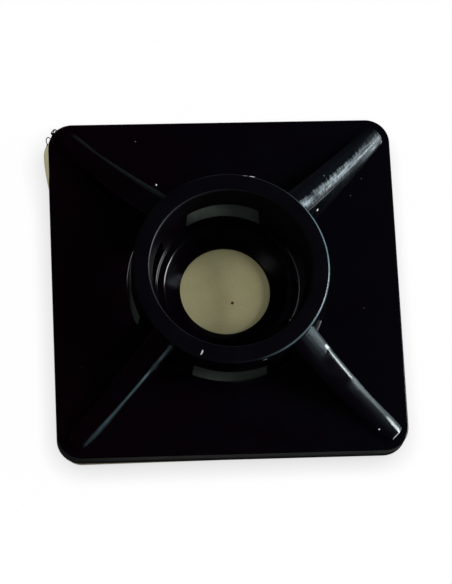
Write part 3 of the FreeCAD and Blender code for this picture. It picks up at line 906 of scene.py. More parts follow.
@dataclass(frozen=True)
class FoamFinish:
    """Cream foam with small cells and one dark red spot, with painted shade in the pits of its cells and
    painted light where it swells out at the left.

    Under the windows it is painted greyer as shade, and painted dark in two of them, where it lies unlit. A
    surface that mirrors the foam sees it in the painted shade of the moulding.
    """

    colour: Colour = (0.50, 0.455, 0.228, 1.0)
    pale_colour: Colour = (0.60, 0.565, 0.315, 1.0)
    # Painted shade in the pits of the cells.
    pit_shade_colour: Colour = (0.15, 0.13, 0.06, 1.0)
    # Paler foam where it swells out at the left: painted light.
    swell_light_colour: Colour = (0.84, 0.79, 0.46, 1.0)
    stain_colour: Colour = (0.08, 0.012, 0.003, 1.0)
    unlit_colour: Colour = (0.010, 0.012, 0.012, 1.0)
    # Grey-green painted shade on the foam under the windows.
    window_shade_colour: Colour = (0.094, 0.118, 0.10, 1.0)
    shade_colour: Colour = (0.03, 0.028, 0.018, 1.0)
    grain_scale: float = 6000.0
    blotch_scale: float = 900.0
    cell_scale: float = 5200.0
    cell_step: Step = (0.0, 0.3, 0.75, 1.0)
    swell_light_step: Step = (-0.0098, -0.01, 0.0, 0.9)
    spot: Triple = (0.00040, -0.00068, 0.00115)
    spot_size: float = 0.00012
    cell_height: float = 0.8
    grain_height: float = 0.4
    roughness: float = 0.85
    sheen: float = 0.1
    bump_strength: float = 0.6
    bump_distance: float = 0.00005

    def build(self, effects: Effects) -> bpy.types.Material:
        """Make the material.

        Args:
            effects: the shared shader groups.

        Returns:
            The material.
        """
        material, graph, place = new_material("cream_foam")
        grain = graph.effect(effects.grain, place, Scale=self.grain_scale, Blotch_Scale=self.blotch_scale)
        cells = graph.add("ShaderNodeTexVoronoi", {"Vector": place, "Scale": self.cell_scale})
        walls = graph.ramp(cells.outputs["Distance"], *self.cell_step)
        to_spot = graph.add("ShaderNodeVectorMath", {0: place, 1: self.spot}, operation="DISTANCE")
        away = to_spot.outputs["Value"]
        # Painted light on the swell, painted shade in the pits, under the windows and in the unlit windows,
        # the red stain, and the painted shade that mirrors see.
        layers = (
            (graph.ramp(graph.split(place)[0], *self.swell_light_step), self.swell_light_colour),
            (graph.math("SUBTRACT", 1.0, walls), self.pit_shade_colour),
            (graph.attribute("window_shade"), self.window_shade_colour),
            (graph.attribute("unlit"), self.unlit_colour),
            (graph.ramp(away, self.spot_size, self.spot_size / 2), self.stain_colour),
            (graph.add("ShaderNodeLightPath").outputs["Is Glossy Ray"], self.shade_colour),
        )
        colour = graph.mix(grain["Blotch"], self.colour, self.pale_colour)
        for share, tint in layers:
            colour = graph.mix(share, colour, tint)
        height = graph.times(grain["Height"], self.grain_height)
        height = graph.math("ADD", graph.times(walls, self.cell_height), height)
        normal = graph.bump(height, self.bump_strength, self.bump_distance)
        graph.surface(Base_Color=colour, Roughness=self.roughness, Sheen_Weight=self.sheen, Normal=normal)
        return material


@dataclass(frozen=True)
class PaperFinish:
    """Pale coated release paper with faint fibres and a soft shine."""

    colour: Colour = (0.62, 0.58, 0.46, 1.0)
    fibre_colour: Colour = (0.50, 0.46, 0.35, 1.0)
    grain_scale: float = 2500.0
    blotch_scale: float = 260.0
    fibre_scale: float = 900.0
    fibre_width: float = 0.02
    fibre_cover: float = 0.6
    fibre_strength: float = 0.5
    roughness_step: Step = (0.3, 0.7, 0.42, 0.6)
    bump_strength: float = 0.25
    bump_distance: float = 0.00002

    def build(self, effects: Effects) -> bpy.types.Material:
        """Make the material.

        Args:
            effects: the shared shader groups.

        Returns:
            The material.
        """
        material, graph, place = new_material("release_paper")
        grain = graph.effect(effects.grain, place, Scale=self.grain_scale, Blotch_Scale=self.blotch_scale)
        fibres = graph.effect(
            effects.scratches, place, Scale=self.fibre_scale, Width=self.fibre_width, Cover=self.fibre_cover
        )
        share = graph.times(fibres["Mask"], self.fibre_strength)
        colour = graph.mix(share, self.colour, self.fibre_colour)
        rough = graph.ramp(grain["Blotch"], *self.roughness_step)
        normal = graph.bump(grain["Height"], self.bump_strength, self.bump_distance)
        graph.surface(Base_Color=colour, Roughness=rough, Normal=normal)
        return material


@dataclass(frozen=True)
class FloorFinish:
    """Pale studio floor that the camera sees as white, with a contact shadow painted into its glow close
    round the object.

    From below, and for what lies right on it, the floor is clear, so that the underside of the object can be
    looked at too.
    """

    colour: Colour = (0.8, 0.8, 0.8, 1.0)
    contact_reach: float = 0.0015
    contact_samples: int = 16
    contact_depth: float = 0.42
    lit_share: float = 0.015
    shine_level: float = 0.03
    near_reach: float = 0.00005

    def build(self) -> bpy.types.Material:
        """Make the material."""
        material, graph, _ = new_material("studio_floor")
        path = graph.add("ShaderNodeLightPath").outputs
        reach = {"Distance": self.contact_reach}
        closeness = graph.add("ShaderNodeAmbientOcclusion", reach, samples=self.contact_samples)
        open_share = closeness.outputs["AO"]
        # Contact shadow painted into the floor's glow from its ambient occlusion.
        level = graph.math("MULTIPLY_ADD", open_share, self.contact_depth, 1 - self.contact_depth)
        glow = graph.add("ShaderNodeEmission", {"Color": WHITE, "Strength": level})
        lit = graph.add("ShaderNodeBsdfDiffuse", {"Color": self.colour})
        seen = self.blend(graph, self.lit_share, glow.outputs[0], lit.outputs[0])
        direct = graph.math("MAXIMUM", path["Is Camera Ray"], path["Is Transmission Ray"])
        mixed = self.blend(graph, direct, lit.outputs[0], seen)
        dim = graph.math("MULTIPLY", self.shine_level, open_share)
        shine = graph.add("ShaderNodeEmission", {"Color": WHITE, "Strength": dim})
        top = self.blend(graph, path["Is Glossy Ray"], mixed, shine.outputs[0])
        under = graph.add("ShaderNodeNewGeometry").outputs["Backfacing"]
        short = graph.math("LESS_THAN", path["Ray Length"], self.near_reach)
        short = graph.math("SUBTRACT", short, path["Is Camera Ray"], clamp=True)
        clear = graph.add("ShaderNodeBsdfTransparent").outputs[0]
        last = self.blend(graph, graph.math("MAXIMUM", under, short), top, clear)
        graph.add("ShaderNodeOutputMaterial", {"Surface": last})
        return material

    @staticmethod
    def blend(graph: Graph, share: Socket | float, low: Socket, high: Socket) -> Socket:
        """Shader between two shaders."""
        return graph.add("ShaderNodeMixShader", {0: share, 1: low, 2: high}).outputs[0]


# The object's pieces.


@dataclass(frozen=True)
class MarkLimits:
    """How far the marked patches of the moulding reach from the forms that they belong to, in millimetres."""

    off_plate: float = 0.005
    past_form: float = 0.02
    over_rib_foot: float = 0.05
    out_of_collar: float = 0.04
    below_rim: float = 0.03
    out_of_passage: float = 0.07
    below_plate_edge: float = 0.06
    in_from_side: float = 0.5
    rim_skin: float = 0.01
    rim_band: float = 0.13
    in_from_outer_edge: float = 0.09
    out_from_inner_edge: float = 0.06
    lip_band: float = 0.06
    mouth_band: float = 0.12
    hollow_height: float = 0.3
    hollow_middle: float = 0.1
    hollow_band: float = 0.17


@dataclass
class MountBase:
    """Square plate with a bridged collar, four corner ribs, four windows and the hole for a screw."""

    half_side: float = 10.0
    corner_radius: float = 1.4
    plate_thickness: float = 1.35
    edge_radius: float = 0.08
    foot_edge_radius: float = 0.04
    side_margin: float = 0.1
    hole_radius: float = 2.62
    hole_land: float = 0.32
    countersink_radius: float = 3.6
    seat_radius: float = 4.02
    seat_depth: float = 0.22
    collar_inner_foot: float = 4.08
    collar_inner_rim: float = 4.62
    collar_outer_foot: float = 5.68
    collar_outer_rim: float = 5.60
    collar_foot_fillet: float = 0.25
    inner_foot_shift: float = 0.06
    land_round: float = 0.05
    countersink_round: float = 0.3
    seat_round: float = 0.07
    seat_edge_round: float = 0.09
    inner_foot_round: float = 0.02
    rim_round: float = 0.12
    passage_half: float = 2.2
    passage_height: float = 1.6
    passage_lift: float = 0.001
    mouth_round: float = 0.06
    mouth_clear: float = 0.8
    window_inner: float = 4.22
    window_outer: float = 5.72
    window_round: float = 0.03
    window_clear: float = 0.15
    window_sink: float = 0.2
    rib_root_reach: float = 5.11
    rib_nose_reach: float = 13.062
    rib_widths: Triple = (1.7, 1.5, 1.05)
    rib_heights: Triple = (3.33, 1.35, 0.3)
    rib_shoulders: Triple = (0.3, 0.34, 0.2)
    rib_draft: float = 0.12
    rib_sink: float = 0.3
    rib_foot_round: float = 0.1
    rib_side_least: float = 0.02
    rib_end_round: float = 0.1
    rib_nose_round: float = 0.42
    nick_sizes: Triple = (0.15, 0.1, 0.12)
    nick_along: float = 7.14
    nick_across: float = 0.44
    nick_seed: int = 3
    sharp_deg: float = 32
    top_shares: tuple[float, ...] = (0.03, 0.1, 0.25, 0.4, 0.55, 0.7, 0.85, 0.95)
    under_shares: tuple[float, ...] = (0.98, 0.9, 0.6, 0.3, 0.1, 0.02)
    edge_rows: int = 7
    side_rows: int = 4
    foot_rows: int = 5
    side_columns: int = 64
    corner_columns: int = 16
    rib_rows: int = 72
    nose_rows: int = 8
    arc_columns: int = 33
    jamb_columns: int = 8
    limits: MarkLimits = MarkLimits()
    underside: float = field(init=False)
    plate_top: float = field(init=False)
    rim_top: float = field(init=False)

    def __post_init__(self) -> None:
        """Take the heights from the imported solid."""
        low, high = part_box("mount_base")
        self.underside = low.z / MM
        self.rim_top = high.z / MM
        self.plate_top = self.underside + self.plate_thickness

    def turned_section(self) -> np.ndarray:
        """(n, 2) radius and height from the foot of the screw hole to the outer foot of the collar."""
        seat = self.plate_top - self.seat_depth
        corners = np.array(
            [
                (self.hole_radius, self.underside),
                (self.hole_radius, self.underside + self.hole_land),
                (self.countersink_radius, seat),
                (self.seat_radius, seat),
                (self.seat_radius, self.plate_top),
                (self.collar_inner_foot + self.inner_foot_shift, self.plate_top),
                (self.collar_inner_rim, self.rim_top),
                (self.collar_outer_rim, self.rim_top),
                (self.collar_outer_foot, self.plate_top),
                (self.collar_outer_foot + 2 * self.collar_foot_fillet, self.plate_top),
            ]
        )
        radii = np.array(
            [
                self.land_round,
                self.countersink_round,
                self.seat_round,
                self.seat_edge_round,
                self.inner_foot_round,
                self.rim_round,
                self.rim_round,
                self.collar_foot_fillet,
            ]
        )
        return rounded_path(corners, radii)

    def plate_rows(self, hub: float) -> tuple[np.ndarray, ...]:
        """Rows of the plate from the collar's foot over the top, round the edge and back under the plate.

        The edge and the foot of the side are quarter circles.

        Args:
            hub: radius of the collar's foot, where the top begins.

        Returns:
            For each row its share of the way from the hub to the edge, its inset from the edge, its height
            and the radius of its hub.
        """
        top, bottom = self.plate_top, self.underside
        small, large = self.foot_edge_radius, self.edge_radius
        edge = np.linspace(0, math.pi / 2, self.edge_rows)
        foot = np.linspace(0, math.pi / 2, self.foot_rows)
        highest, lowest = top - large - self.side_margin, bottom + small + self.side_margin
        side = np.linspace(highest, lowest, self.side_rows)
        strips = (
            (np.array(self.top_shares), large, top, hub),
            (1.0, large * (1 - np.sin(edge)), top - large * (1 - np.cos(edge)), hub),
            (1.0, 0.0, side, hub),
            (1.0, small * (1 - np.cos(foot)), bottom + small * (1 - np.sin(foot)), hub),
            (np.array(self.under_shares), small, bottom, self.hole_radius),
        )
        return tuple(np.concatenate([np.stack(np.broadcast_arrays(*strip)) for strip in strips], axis=1))

    def body_shell(self) -> Shell:
        """Plate and collar as one ring-shaped grid.

        Each column is a half plane through the axis. Its rows follow the turned section, then move in a
        straight line from the collar's foot to the plate's edge, round it, down the side and back under the
        plate to the hole.
        """
        core, direction = rounded_square(
            self.half_side, self.corner_radius, self.side_columns, self.corner_columns
        )
        edge = core + self.corner_radius * direction
        angle = np.arctan2(edge[:, 1], edge[:, 0])
        ray = np.stack([np.cos(angle), np.sin(angle)], axis=-1)
        section = self.turned_section()
        turned = at_levels(section[:, 0, None, None] * ray[None], section[:, 1])
        share, inset, level, hub = self.plate_rows(section[-1, 0])
        square = core[None] + (self.corner_radius - inset)[:, None, None] * direction[None]
        round_part = hub[:, None, None] * ray[None]
        flat = (1 - share)[:, None, None] * round_part + share[:, None, None] * square
        return Shell.ring(np.concatenate([turned, at_levels(flat, level)]))

    @staticmethod
    def rib_value(share: np.ndarray, values: Triple) -> np.ndarray:
        """Quadratic through the values at the root, halfway and at the nose of a rib."""
        root, middle, nose = values
        ends = (1 - share) * (1 - 2 * share) * root, share * (2 * share - 1) * nose
        return ends[0] + 4 * share * (1 - share) * middle + ends[1]

    def rib_shell(self) -> Shell:
        """One rib along the X axis as a lofted grid, turned to the first corner.

        Each row is a closed section: a sunk base, a small hollow foot, a drafted side, a quarter-round
        shoulder and a flat crest, then the same mirrored. The last rows shrink along a quarter circle for the
        rounded end.
        """
        share = np.linspace(0, 1, self.rib_rows)
        close = np.linspace(0, math.pi / 2, self.nose_rows + 1)[1:]
        root = self.rib_root_reach
        reach = root + (self.rib_nose_reach - self.rib_nose_round - root) * share
        reach = np.concatenate([reach, reach[-1] + self.rib_nose_round * np.sin(close)])
        inset = np.concatenate([np.zeros_like(share), 1 - np.cos(close)])[:, None]
        share = np.concatenate([share, np.ones_like(close)])
        half = self.rib_value(share, self.rib_widths)[:, None] / 2 - self.rib_nose_round * inset
        height = self.rib_value(share, self.rib_heights)[:, None] - self.rib_end_round * inset
        foot = self.rib_foot_round
        shoulder = self.rib_value(share, self.rib_shoulders)[:, None]
        shoulder = np.minimum(shoulder, height - foot - self.rib_side_least)
        hollow_start_deg, hollow_reach, hollow_sink = 78, 1.15, 0.06
        hollow = np.linspace(math.radians(hollow_start_deg), 0, 6)[None]
        bend = np.linspace(0, math.pi / 2, 11)[None]
        rise = np.linspace(0, 1, 5)[None, 1:-1]
        base = half + self.rib_draft
        section = (
            (base, -self.rib_sink),
            (base + foot * hollow_reach, -foot * hollow_sink),
            (base + foot - foot * np.cos(hollow), foot - foot * np.sin(hollow)),
            (base + (half - base) * rise, foot + (height - shoulder - foot) * rise),
            (half - shoulder + shoulder * np.cos(bend), height - shoulder + shoulder * np.sin(bend)),
            ((half - shoulder) * 0.5, height),
        )
        across, up = (
            np.concatenate([np.broadcast_to(part[axis], part[0].shape) for part in section], axis=1)
            for axis in range(2)
        )
        across = np.concatenate([across, -across[:, ::-1]], axis=1)
        up = np.concatenate([up, up[:, ::-1]], axis=1)
        out = np.broadcast_to(reach[:, None], across.shape)
        return Shell.tube(np.stack([out, across, up + self.plate_top], axis=-1)).turned(0.5)

    def wall_radius(self, level: np.ndarray, inner: bool) -> np.ndarray:
        """Radius of the collar's inner or outer side at a height."""
        share = (level - self.plate_top) / (self.rim_top - self.plate_top)
        if inner:
            return self.collar_inner_foot + (self.collar_inner_rim - self.collar_inner_foot) * share
        return self.collar_outer_foot + (self.collar_outer_rim - self.collar_outer_foot) * share

    @staticmethod
    def flare(size: float, clear: float) -> tuple[np.ndarray, np.ndarray]:
        """Depth and widening of a rounded mouth, from outside the surface to where the walls run straight.

        The points lie on a quarter circle that touches the straight wall. It is left 20 degrees before it
        would touch the surface, and goes on straight through it, so that it crosses the surface clearly.

        Args:
            size: radius of the rounding.
            clear: how far the cutter reaches out of the surface.

        Returns:
            The depths and the widenings.
        """
        leave_deg, ahead, wide = 20, 0.1, 1.1
        angle = np.radians(np.linspace(leave_deg, RIGHT_ANGLE_DEG, 7))
        depth = np.concatenate([[-clear, -ahead * size], size - size * np.cos(angle)])
        width = np.concatenate([[wide * size, wide * size], size - size * np.sin(angle)])
        return depth, width

    def mouth_shell(self) -> Shell:
        """Cutter for one passage through the collar's wall, with flared mouths at both sides of it.

        Each row is a rectangle across the passage, bent onto a circle about the axis: the distance along the
        passage is the square root of the radius squared less the offset squared.
        """
        depth, width = self.flare(self.mouth_round, self.mouth_clear)
        columns = np.linspace(-1, 1, self.arc_columns)
        sides = np.linspace(0, 1, self.jamb_columns + 1)[1:]
        back = columns[::-1][1:]
        along = np.concatenate([columns, np.ones_like(sides), back, -np.ones_like(sides[1:])])
        lift = np.concatenate([np.zeros_like(columns), sides, np.ones_like(back), sides[::-1][1:]])
        between = np.linspace(0, 1, 6)[1:-1]
        straight = np.full(len(between) + len(depth), self.mouth_round)
        inner_depth = np.concatenate([depth, straight])
        outer_depth = np.concatenate([straight, depth[::-1]])
        blend = np.concatenate([np.zeros(len(depth)), between, np.ones(len(depth))])[:, None]
        widening = np.concatenate([width, np.zeros(len(between)), width[::-1]])[:, None]
        offset = along[None] * (self.passage_half + widening)
        floor = self.passage_lift
        level = self.plate_top + floor + lift[None] * (self.passage_height - floor + widening)
        inner = self.wall_radius(level, True) + inner_depth[:, None]
        outer = self.wall_radius(level, False) - outer_depth[:, None]
        radius = (1 - blend) * inner + blend * outer
        return Shell.tube(np.stack([np.sqrt(radius**2 - offset**2), offset, level], axis=-1))

    def window_shell(self) -> Shell:
        """Cutter for one window: two arcs about the axis joined by straight sides, flared at the top."""
        depth, width = self.flare(self.window_round, self.window_clear)
        level = np.concatenate([[self.underside - self.window_sink], (self.plate_top - depth)[::-1]])[:, None]
        widening = np.concatenate([[0.0], width[::-1]])[:, None]
        sweep = np.linspace(-1, 1, self.arc_columns) * self.passage_half
        offset = np.concatenate([sweep, sweep[::-1]])[None]
        outer, inner = (
            np.repeat(radius, len(sweep), axis=1)
            for radius in (self.window_outer + widening, self.window_inner - widening)
        )
        x = np.sqrt(np.concatenate([outer, inner], axis=1) ** 2 - offset**2)
        return Shell.tube(np.stack([x, *np.broadcast_arrays(offset, level)], axis=-1))

    def nick_shell(self) -> Shell:
        """Cutter for the nick in the near right rib: an uneven ball by latitude and longitude."""
        place = self.on_rib(Corner.NEAR_RIGHT, self.nick_along, self.nick_across)
        return ball_shell(self.nick_sizes, self.nick_seed).moved(place)

    def on_rib(self, corner: Corner, along: float, across: float) -> np.ndarray:
        """Point on the crest of a rib.

        Args:
            corner: which rib.
            along: distance from the axis.
            across: distance to the left of the rib's middle line, as seen from the axis.

        Returns:
            The point in millimetres.
        """
        share = np.array((along - self.rib_root_reach) / (self.rib_nose_reach - self.rib_root_reach))
        half = float(self.rib_value(share, self.rib_widths)) / 2
        height = float(self.rib_value(share, self.rib_heights))
        least = self.rib_foot_round + self.rib_side_least
        shoulder = min(float(self.rib_value(share, self.rib_shoulders)), height - least)
        over = max(abs(across) - (half - shoulder), 0.0)
        level = self.plate_top + height - shoulder + math.sqrt(max(shoulder**2 - over**2, 0.0))
        return turn_about_z(np.array([along, across, level]), corner.value + 0.5)

    def build(self, finish: NylonFinish, effects: Effects) -> bpy.types.Object:
        """Build and dress the moulding.

        Args:
            finish: its material.
            effects: the shared shader groups.

        Returns:
            The piece.
        """
        piece = self.body_shell().to_object("moulding")
        work_on(piece, self.rib_shell().each_quarter().to_object("ribs"), Cut.JOIN)
        work_on(piece, self.mouth_shell().each_quarter().to_object("mouths"), Cut.REMOVE)
        work_on(piece, self.window_shell().each_quarter().to_object("windows"), Cut.REMOVE)
        work_on(piece, self.nick_shell().to_object("nick"), Cut.REMOVE)
        shade(piece, self.sharp_deg)
        self.mark(piece)
        piece.data.materials.clear()
        piece.data.materials.append(finish.build(effects))
        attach(piece, "root")
        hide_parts("mount_base")
        return piece

    def mark(self, piece: bpy.types.Object) -> None:
        """Store places and marks for the material's painted highlights, sheen, reflection and shade, its rim
        tone and its gloss, worked out from each point.

        A point belongs to the rib of its quarter. Its distance along that rib and across it, to the left as
        seen from the axis, are in millimetres. The wall's mark is 1 on the inner wall and in the passages,
        and 2 on the lips and feet at the right, which mirror the light most.
        """
        limits = self.limits
        x, y, z = points_of(piece).T
        corner = np.floor(np.arctan2(y, x) / (math.pi / 2)).astype(int) % QUARTERS
        angle = (corner + 0.5) * math.pi / 2
        along = x * np.cos(angle) + y * np.sin(angle)
        across = y * np.cos(angle) - x * np.sin(angle)
        share = np.clip((along - self.rib_root_reach) / (self.rib_nose_reach - self.rib_root_reach), 0, 1)
        half = self.rib_value(share, self.rib_widths) / 2 + self.rib_draft
        radius = np.hypot(x, y)
        off_plate = z > self.plate_top + limits.off_plate
        at_right = x > 0
        on_rib = (z > self.plate_top + limits.over_rib_foot) & (np.abs(across) < half + limits.past_form)
        on_rib &= radius > self.collar_outer_rim + limits.out_of_collar
        inner_wall = off_plate & (z < self.rim_top - limits.below_rim)
        inner_wall &= radius < self.collar_inner_rim + limits.past_form
        passage = off_plate & (z < self.plate_top + self.passage_height + limits.past_form)
        passage &= radius < self.collar_outer_foot + limits.out_of_passage
        mouth = passage & (radius > self.collar_outer_rim - limits.mouth_band)
        hollow = off_plate & (z < self.plate_top + limits.hollow_height)
        hollow &= np.abs(radius - self.collar_outer_foot - limits.hollow_middle) < limits.hollow_band
        lip = np.abs(radius - self.window_outer) < limits.lip_band
        lip |= np.abs(radius - self.window_inner) < limits.lip_band
        lip &= np.abs(z - self.plate_top) < limits.lip_band
        side = (z < self.plate_top - limits.below_plate_edge) & (z > self.underside + limits.past_form)
        side &= np.maximum(np.abs(x), np.abs(y)) > self.half_side - limits.in_from_side
        near_rim = z > self.rim_top - limits.rim_band
        marks = {
            "along": along,
            "across": across,
            "rim": z > self.rim_top - limits.rim_skin,
            # Marks of the painted highlights on the rim's outer and inner edges.
            "outer_edge_highlight": near_rim & (radius > self.collar_outer_rim - limits.in_from_outer_edge),
            "inner_edge_highlight": near_rim & (radius < self.collar_inner_rim + limits.out_from_inner_edge),
            "wall": np.where(at_right & (lip | hollow | mouth), 2.0, 1.0 * (inner_wall | passage)),
            # Mark of the plate's sides, which take a painted floor reflection.
            "side": side,
        }
        for name, values in marks.items():
            set_attribute(piece, name, values)
        for rib in Corner:
            set_attribute(piece, rib_mark(rib), on_rib & (corner == rib.value))


@dataclass
class FoamPad:
    """Foam pad under the plate: a rounded square with bulged, uneven sides and a pitted top.

    The stops of the swell are places along the left side and the line that the foam reaches there. Those of
    the lip are shares of the reach past the plate, and heights.
    """

    half_side: float = 9.72
    corner_radius: float = 1.1
    skew_deg: float = 0.5
    side_round: float = 0.12
    side_power: float = 1.6
    swell: Stops = (
        (5.2, -9.7), (6.0, -9.85), (6.58, -9.97), (7.0, -10.05), (7.5, -10.13), (8.0, -10.19), (8.4, -10.22),
        (8.85, -10.225), (9.1, -10.17), (9.3, -10.06), (9.42, -9.95), (9.55, -9.6), (9.65, -9.2),
    )
    lip: Stops = ((0.95, 0.85), (0.78, 1.1), (0.52, 1.45), (0.3, 1.85), (0.14, 2.25), (0.0, 2.36))
    lip_blend: float = 0.07
    lip_gap: float = 0.006
    under_gap: float = 0.004
    left_zone: float = 9.0
    plate_core: float = 8.6
    plate_corner: float = 1.4
    crown: float = 0.06
    crown_radius: float = 2.58
    pit_start: float = 2.9
    pit_blend: float = 0.3
    pit_noises: tuple[tuple[float, int, float], ...] = ((0.34, 11, 0.05), (0.15, 12, 0.035))
    # Ring of foam under the windows that is painted grey as shade.
    window_shade_start: float = 3.0
    window_shade_blend: float = 0.4
    window_shade_end: float = 7.0
    top_zone: float = 0.9
    window_zone: tuple[float, float] = (3.4, 6.5)
    window_half: float = 2.8
    lit_zone: tuple[float, float] = (-1.3, 0.9)
    lit_reach: float = 5.44
    sharp_deg: float = 60
    first_share: float = 0.02
    flat_rows: int = 63
    side_rows: int = 13
    side_columns: int = 72
    corner_columns: int = 16

    def build(self, finish: FoamFinish, effects: Effects) -> bpy.types.Object:
        """Build and dress the pad.

        Args:
            finish: its material.
            effects: the shared shader groups.

        Returns:
            The piece.
        """
        piece = self.shell().to_object("foam")
        shade(piece, self.sharp_deg)
        self.mark_window_shade(piece)
        piece.data.materials.append(finish.build(effects))
        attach(piece, "root")
        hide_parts("foam_pad")
        return piece

    def shell(self) -> Shell:
        """The pad as one grid that ends in a small flat face on either side.

        Rows run from the middle of the underside out to the edge, round the bulged side and back over the
        top. Each ring is the rounded square scaled about the axis; the side's rows follow half a round bar
        of the pad's thickness. The top sinks by its pits and rises by a low dome in the screw hole.
        """
        low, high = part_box("foam_pad")
        bottom, top = low.z / MM, high.z / MM
        core, direction = rounded_square(
            self.half_side, self.corner_radius, self.side_columns, self.corner_columns
        )
        ring = turn_about_z(core + self.corner_radius * direction, self.skew_deg / RIGHT_ANGLE_DEG)
        ring = self.bulged(ring)
        outward = ring / np.linalg.norm(ring, axis=1, keepdims=True)
        spread = np.linspace(self.first_share, 1, self.flat_rows + 1)[:-1]
        bend = np.linspace(-math.pi / 2, math.pi / 2, self.side_rows)
        side_inset = self.side_round * np.abs(np.sin(bend)) ** self.side_power
        side_level = (bottom + top) / 2 + (top - bottom) / 2 * np.sin(bend)
        strips = (
            (spread, self.side_round, bottom),
            (1.0, side_inset, side_level),
            (spread[::-1], self.side_round, top),
        )
        rows = np.concatenate([np.stack(np.broadcast_arrays(*strip)) for strip in strips], axis=1)
        size, inset, level = rows[..., None, None]
        flat = ring[None] * size - inset * size * outward[None]
        grid = at_levels(flat, level[:, 0, 0])
        over = slice(self.flat_rows + self.side_rows, None)
        radius = np.linalg.norm(flat[over], axis=-1)
        grid[over, :, 2] -= self.pits(flat[over]) * np.clip((radius - self.pit_start) / self.pit_blend, 0, 1)
        grid[over, :, 2] += self.crown * np.clip(1 - (radius / self.crown_radius) ** 2, 0, 1)
        return Shell.tube(self.lipped(grid))

    def bulged(self, ring: np.ndarray) -> np.ndarray:
        """Push the left side out to the line that the swollen foam follows past the plate's edge."""
        places, reaches = np.array(self.swell).T
        left = (ring[:, 0] < -self.plate_core) & (ring[:, 1] > places[0]) & (ring[:, 1] < places[-1])
        outward = np.interp(ring[:, 1], places, reaches)
        moved = ring.copy()
        moved[:, 0] = np.where(left, np.minimum(ring[:, 0], outward), ring[:, 0])
        return moved

    def lipped(self, grid: np.ndarray) -> np.ndarray:
        """Raise the swollen foam into a lip along the plate's side, and hold the top's first rows under it.

        The plate's edge is its straight side, and round its corners the circle. Where the pad reaches past
        it, the upper rows of its side move by a share of that reach to the lip's own section: out from the
        edge by the given offsets, and up to the given heights.
        """
        upper = self.flat_rows + self.side_rows
        rows, over = slice(upper - len(self.lip), upper), slice(upper, None)
        ring = grid[self.flat_rows + self.side_rows // 2]
        past_core = np.clip(np.abs(ring[:, 1]) - self.plate_core, 0, self.plate_corner)
        edge = -self.plate_core - np.sqrt(self.plate_corner**2 - past_core**2)
        past = np.clip((edge - ring[:, 0]) / self.lip_blend, 0, 1) * (ring[:, 0] < -self.left_zone)
        strength = (past * past * (3 - 2 * past))[None]
        offset, height = np.array(self.lip).T[..., None]
        reach = np.minimum(ring[:, 0] - edge, 0)[None]
        shaped = grid.copy()
        shaped[rows, :, 0] += strength * (edge[None] + offset * reach - self.lip_gap - grid[rows, :, 0])
        shaped[rows, :, 2] += strength * (height - grid[rows, :, 2])
        held = edge - self.under_gap
        under = (grid[over, :, 0] < held) & (strength > 0)
        shaped[over, :, 0] = np.where(under, held, grid[over, :, 0])
        return shaped

    def pits(self, places: np.ndarray) -> np.ndarray:
        """Depth of the open cells on the top, from noises of which only the high parts count."""
        return sum(
            depth * np.clip(value_noise(places, cell, seed), 0, 1) for cell, seed, depth in self.pit_noises
        )

    def mark_window_shade(self, piece: bpy.types.Object) -> None:
        """Mark the ring under the windows whose foam is painted grey as shade, and the windows where it is
        painted unlit.

        The right window is unlit all over. The left one is lit in one stretch of its outer part.
        """
        x, y, z = points_of(piece).T
        on_top = z > self.top_zone
        radius = np.hypot(x, y)
        window_shade = np.clip((radius - self.window_shade_start) / self.window_shade_blend, 0, 1) * (radius < self.window_shade_end)
        set_attribute(piece, "window_shade", window_shade * on_top)
        near, far = self.window_zone
        low, high = self.lit_zone
        right = (x > near) & (x < far) & (np.abs(y) < self.window_half)
        left = (x < -near) & (x > -far) & (y < self.window_half)
        left &= (y > high) | ((y > low) & (x < -self.lit_reach))
        set_attribute(piece, "unlit", (right | left) & on_top)


@dataclass(frozen=True)
class CrumbFinish:
    """Pale foam crumbs and grey dust grains."""

    pale_colour: Colour = (0.95, 0.95, 0.92, 1.0)
    grey_colour: Colour = (0.022, 0.022, 0.028, 1.0)
    grain_scale: float = 9000.0
    uneven_step: Step = (0.3, 0.7, 0.85, 1.0)
    roughness: float = 0.7
    bump_strength: float = 0.3
    bump_distance: float = 0.00001

    def build(self, effects: Effects) -> bpy.types.Material:
        """Make the material.

        Args:
            effects: the shared shader groups.

        Returns:
            The material.
        """
        material, graph, place = new_material("pale_crumbs")
        height = graph.effect(effects.grain, place, Scale=self.grain_scale)["Height"]
        share = graph.times(graph.attribute("shade"), graph.ramp(height, *self.uneven_step))
        colour = graph.mix(share, self.grey_colour, self.pale_colour)
        normal = graph.bump(height, self.bump_strength, self.bump_distance)
        graph.surface(Base_Color=colour, Roughness=self.roughness, Normal=normal)
        return material


@dataclass(frozen=True)
class FrayFinish:
    """Thin olive threads of adhesive film, darker in places."""

    colour: Colour = (0.10, 0.10, 0.045, 1.0)
    dark_colour: Colour = (0.008, 0.008, 0.005, 1.0)
    blotch_scale: float = 6000.0
    blotch_step: Step = (0.35, 0.6, 0.0, 1.0)
    roughness: float = 0.4
    bump_strength: float = 0.3
    bump_distance: float = 0.00001

    def build(self, effects: Effects) -> bpy.types.Material:
        """Make the material.

        Args:
            effects: the shared shader groups.

        Returns:
            The material.
        """
        material, graph, place = new_material("olive_film")
        grain = graph.effect(effects.grain, place, Blotch_Scale=self.blotch_scale)
        share = graph.ramp(grain["Blotch"], *self.blotch_step)
        colour = graph.mix(share, self.dark_colour, self.colour)
        normal = graph.bump(grain["Height"], self.bump_strength, self.bump_distance)
        graph.surface(Base_Color=colour, Roughness=self.roughness, Normal=normal)
        return material


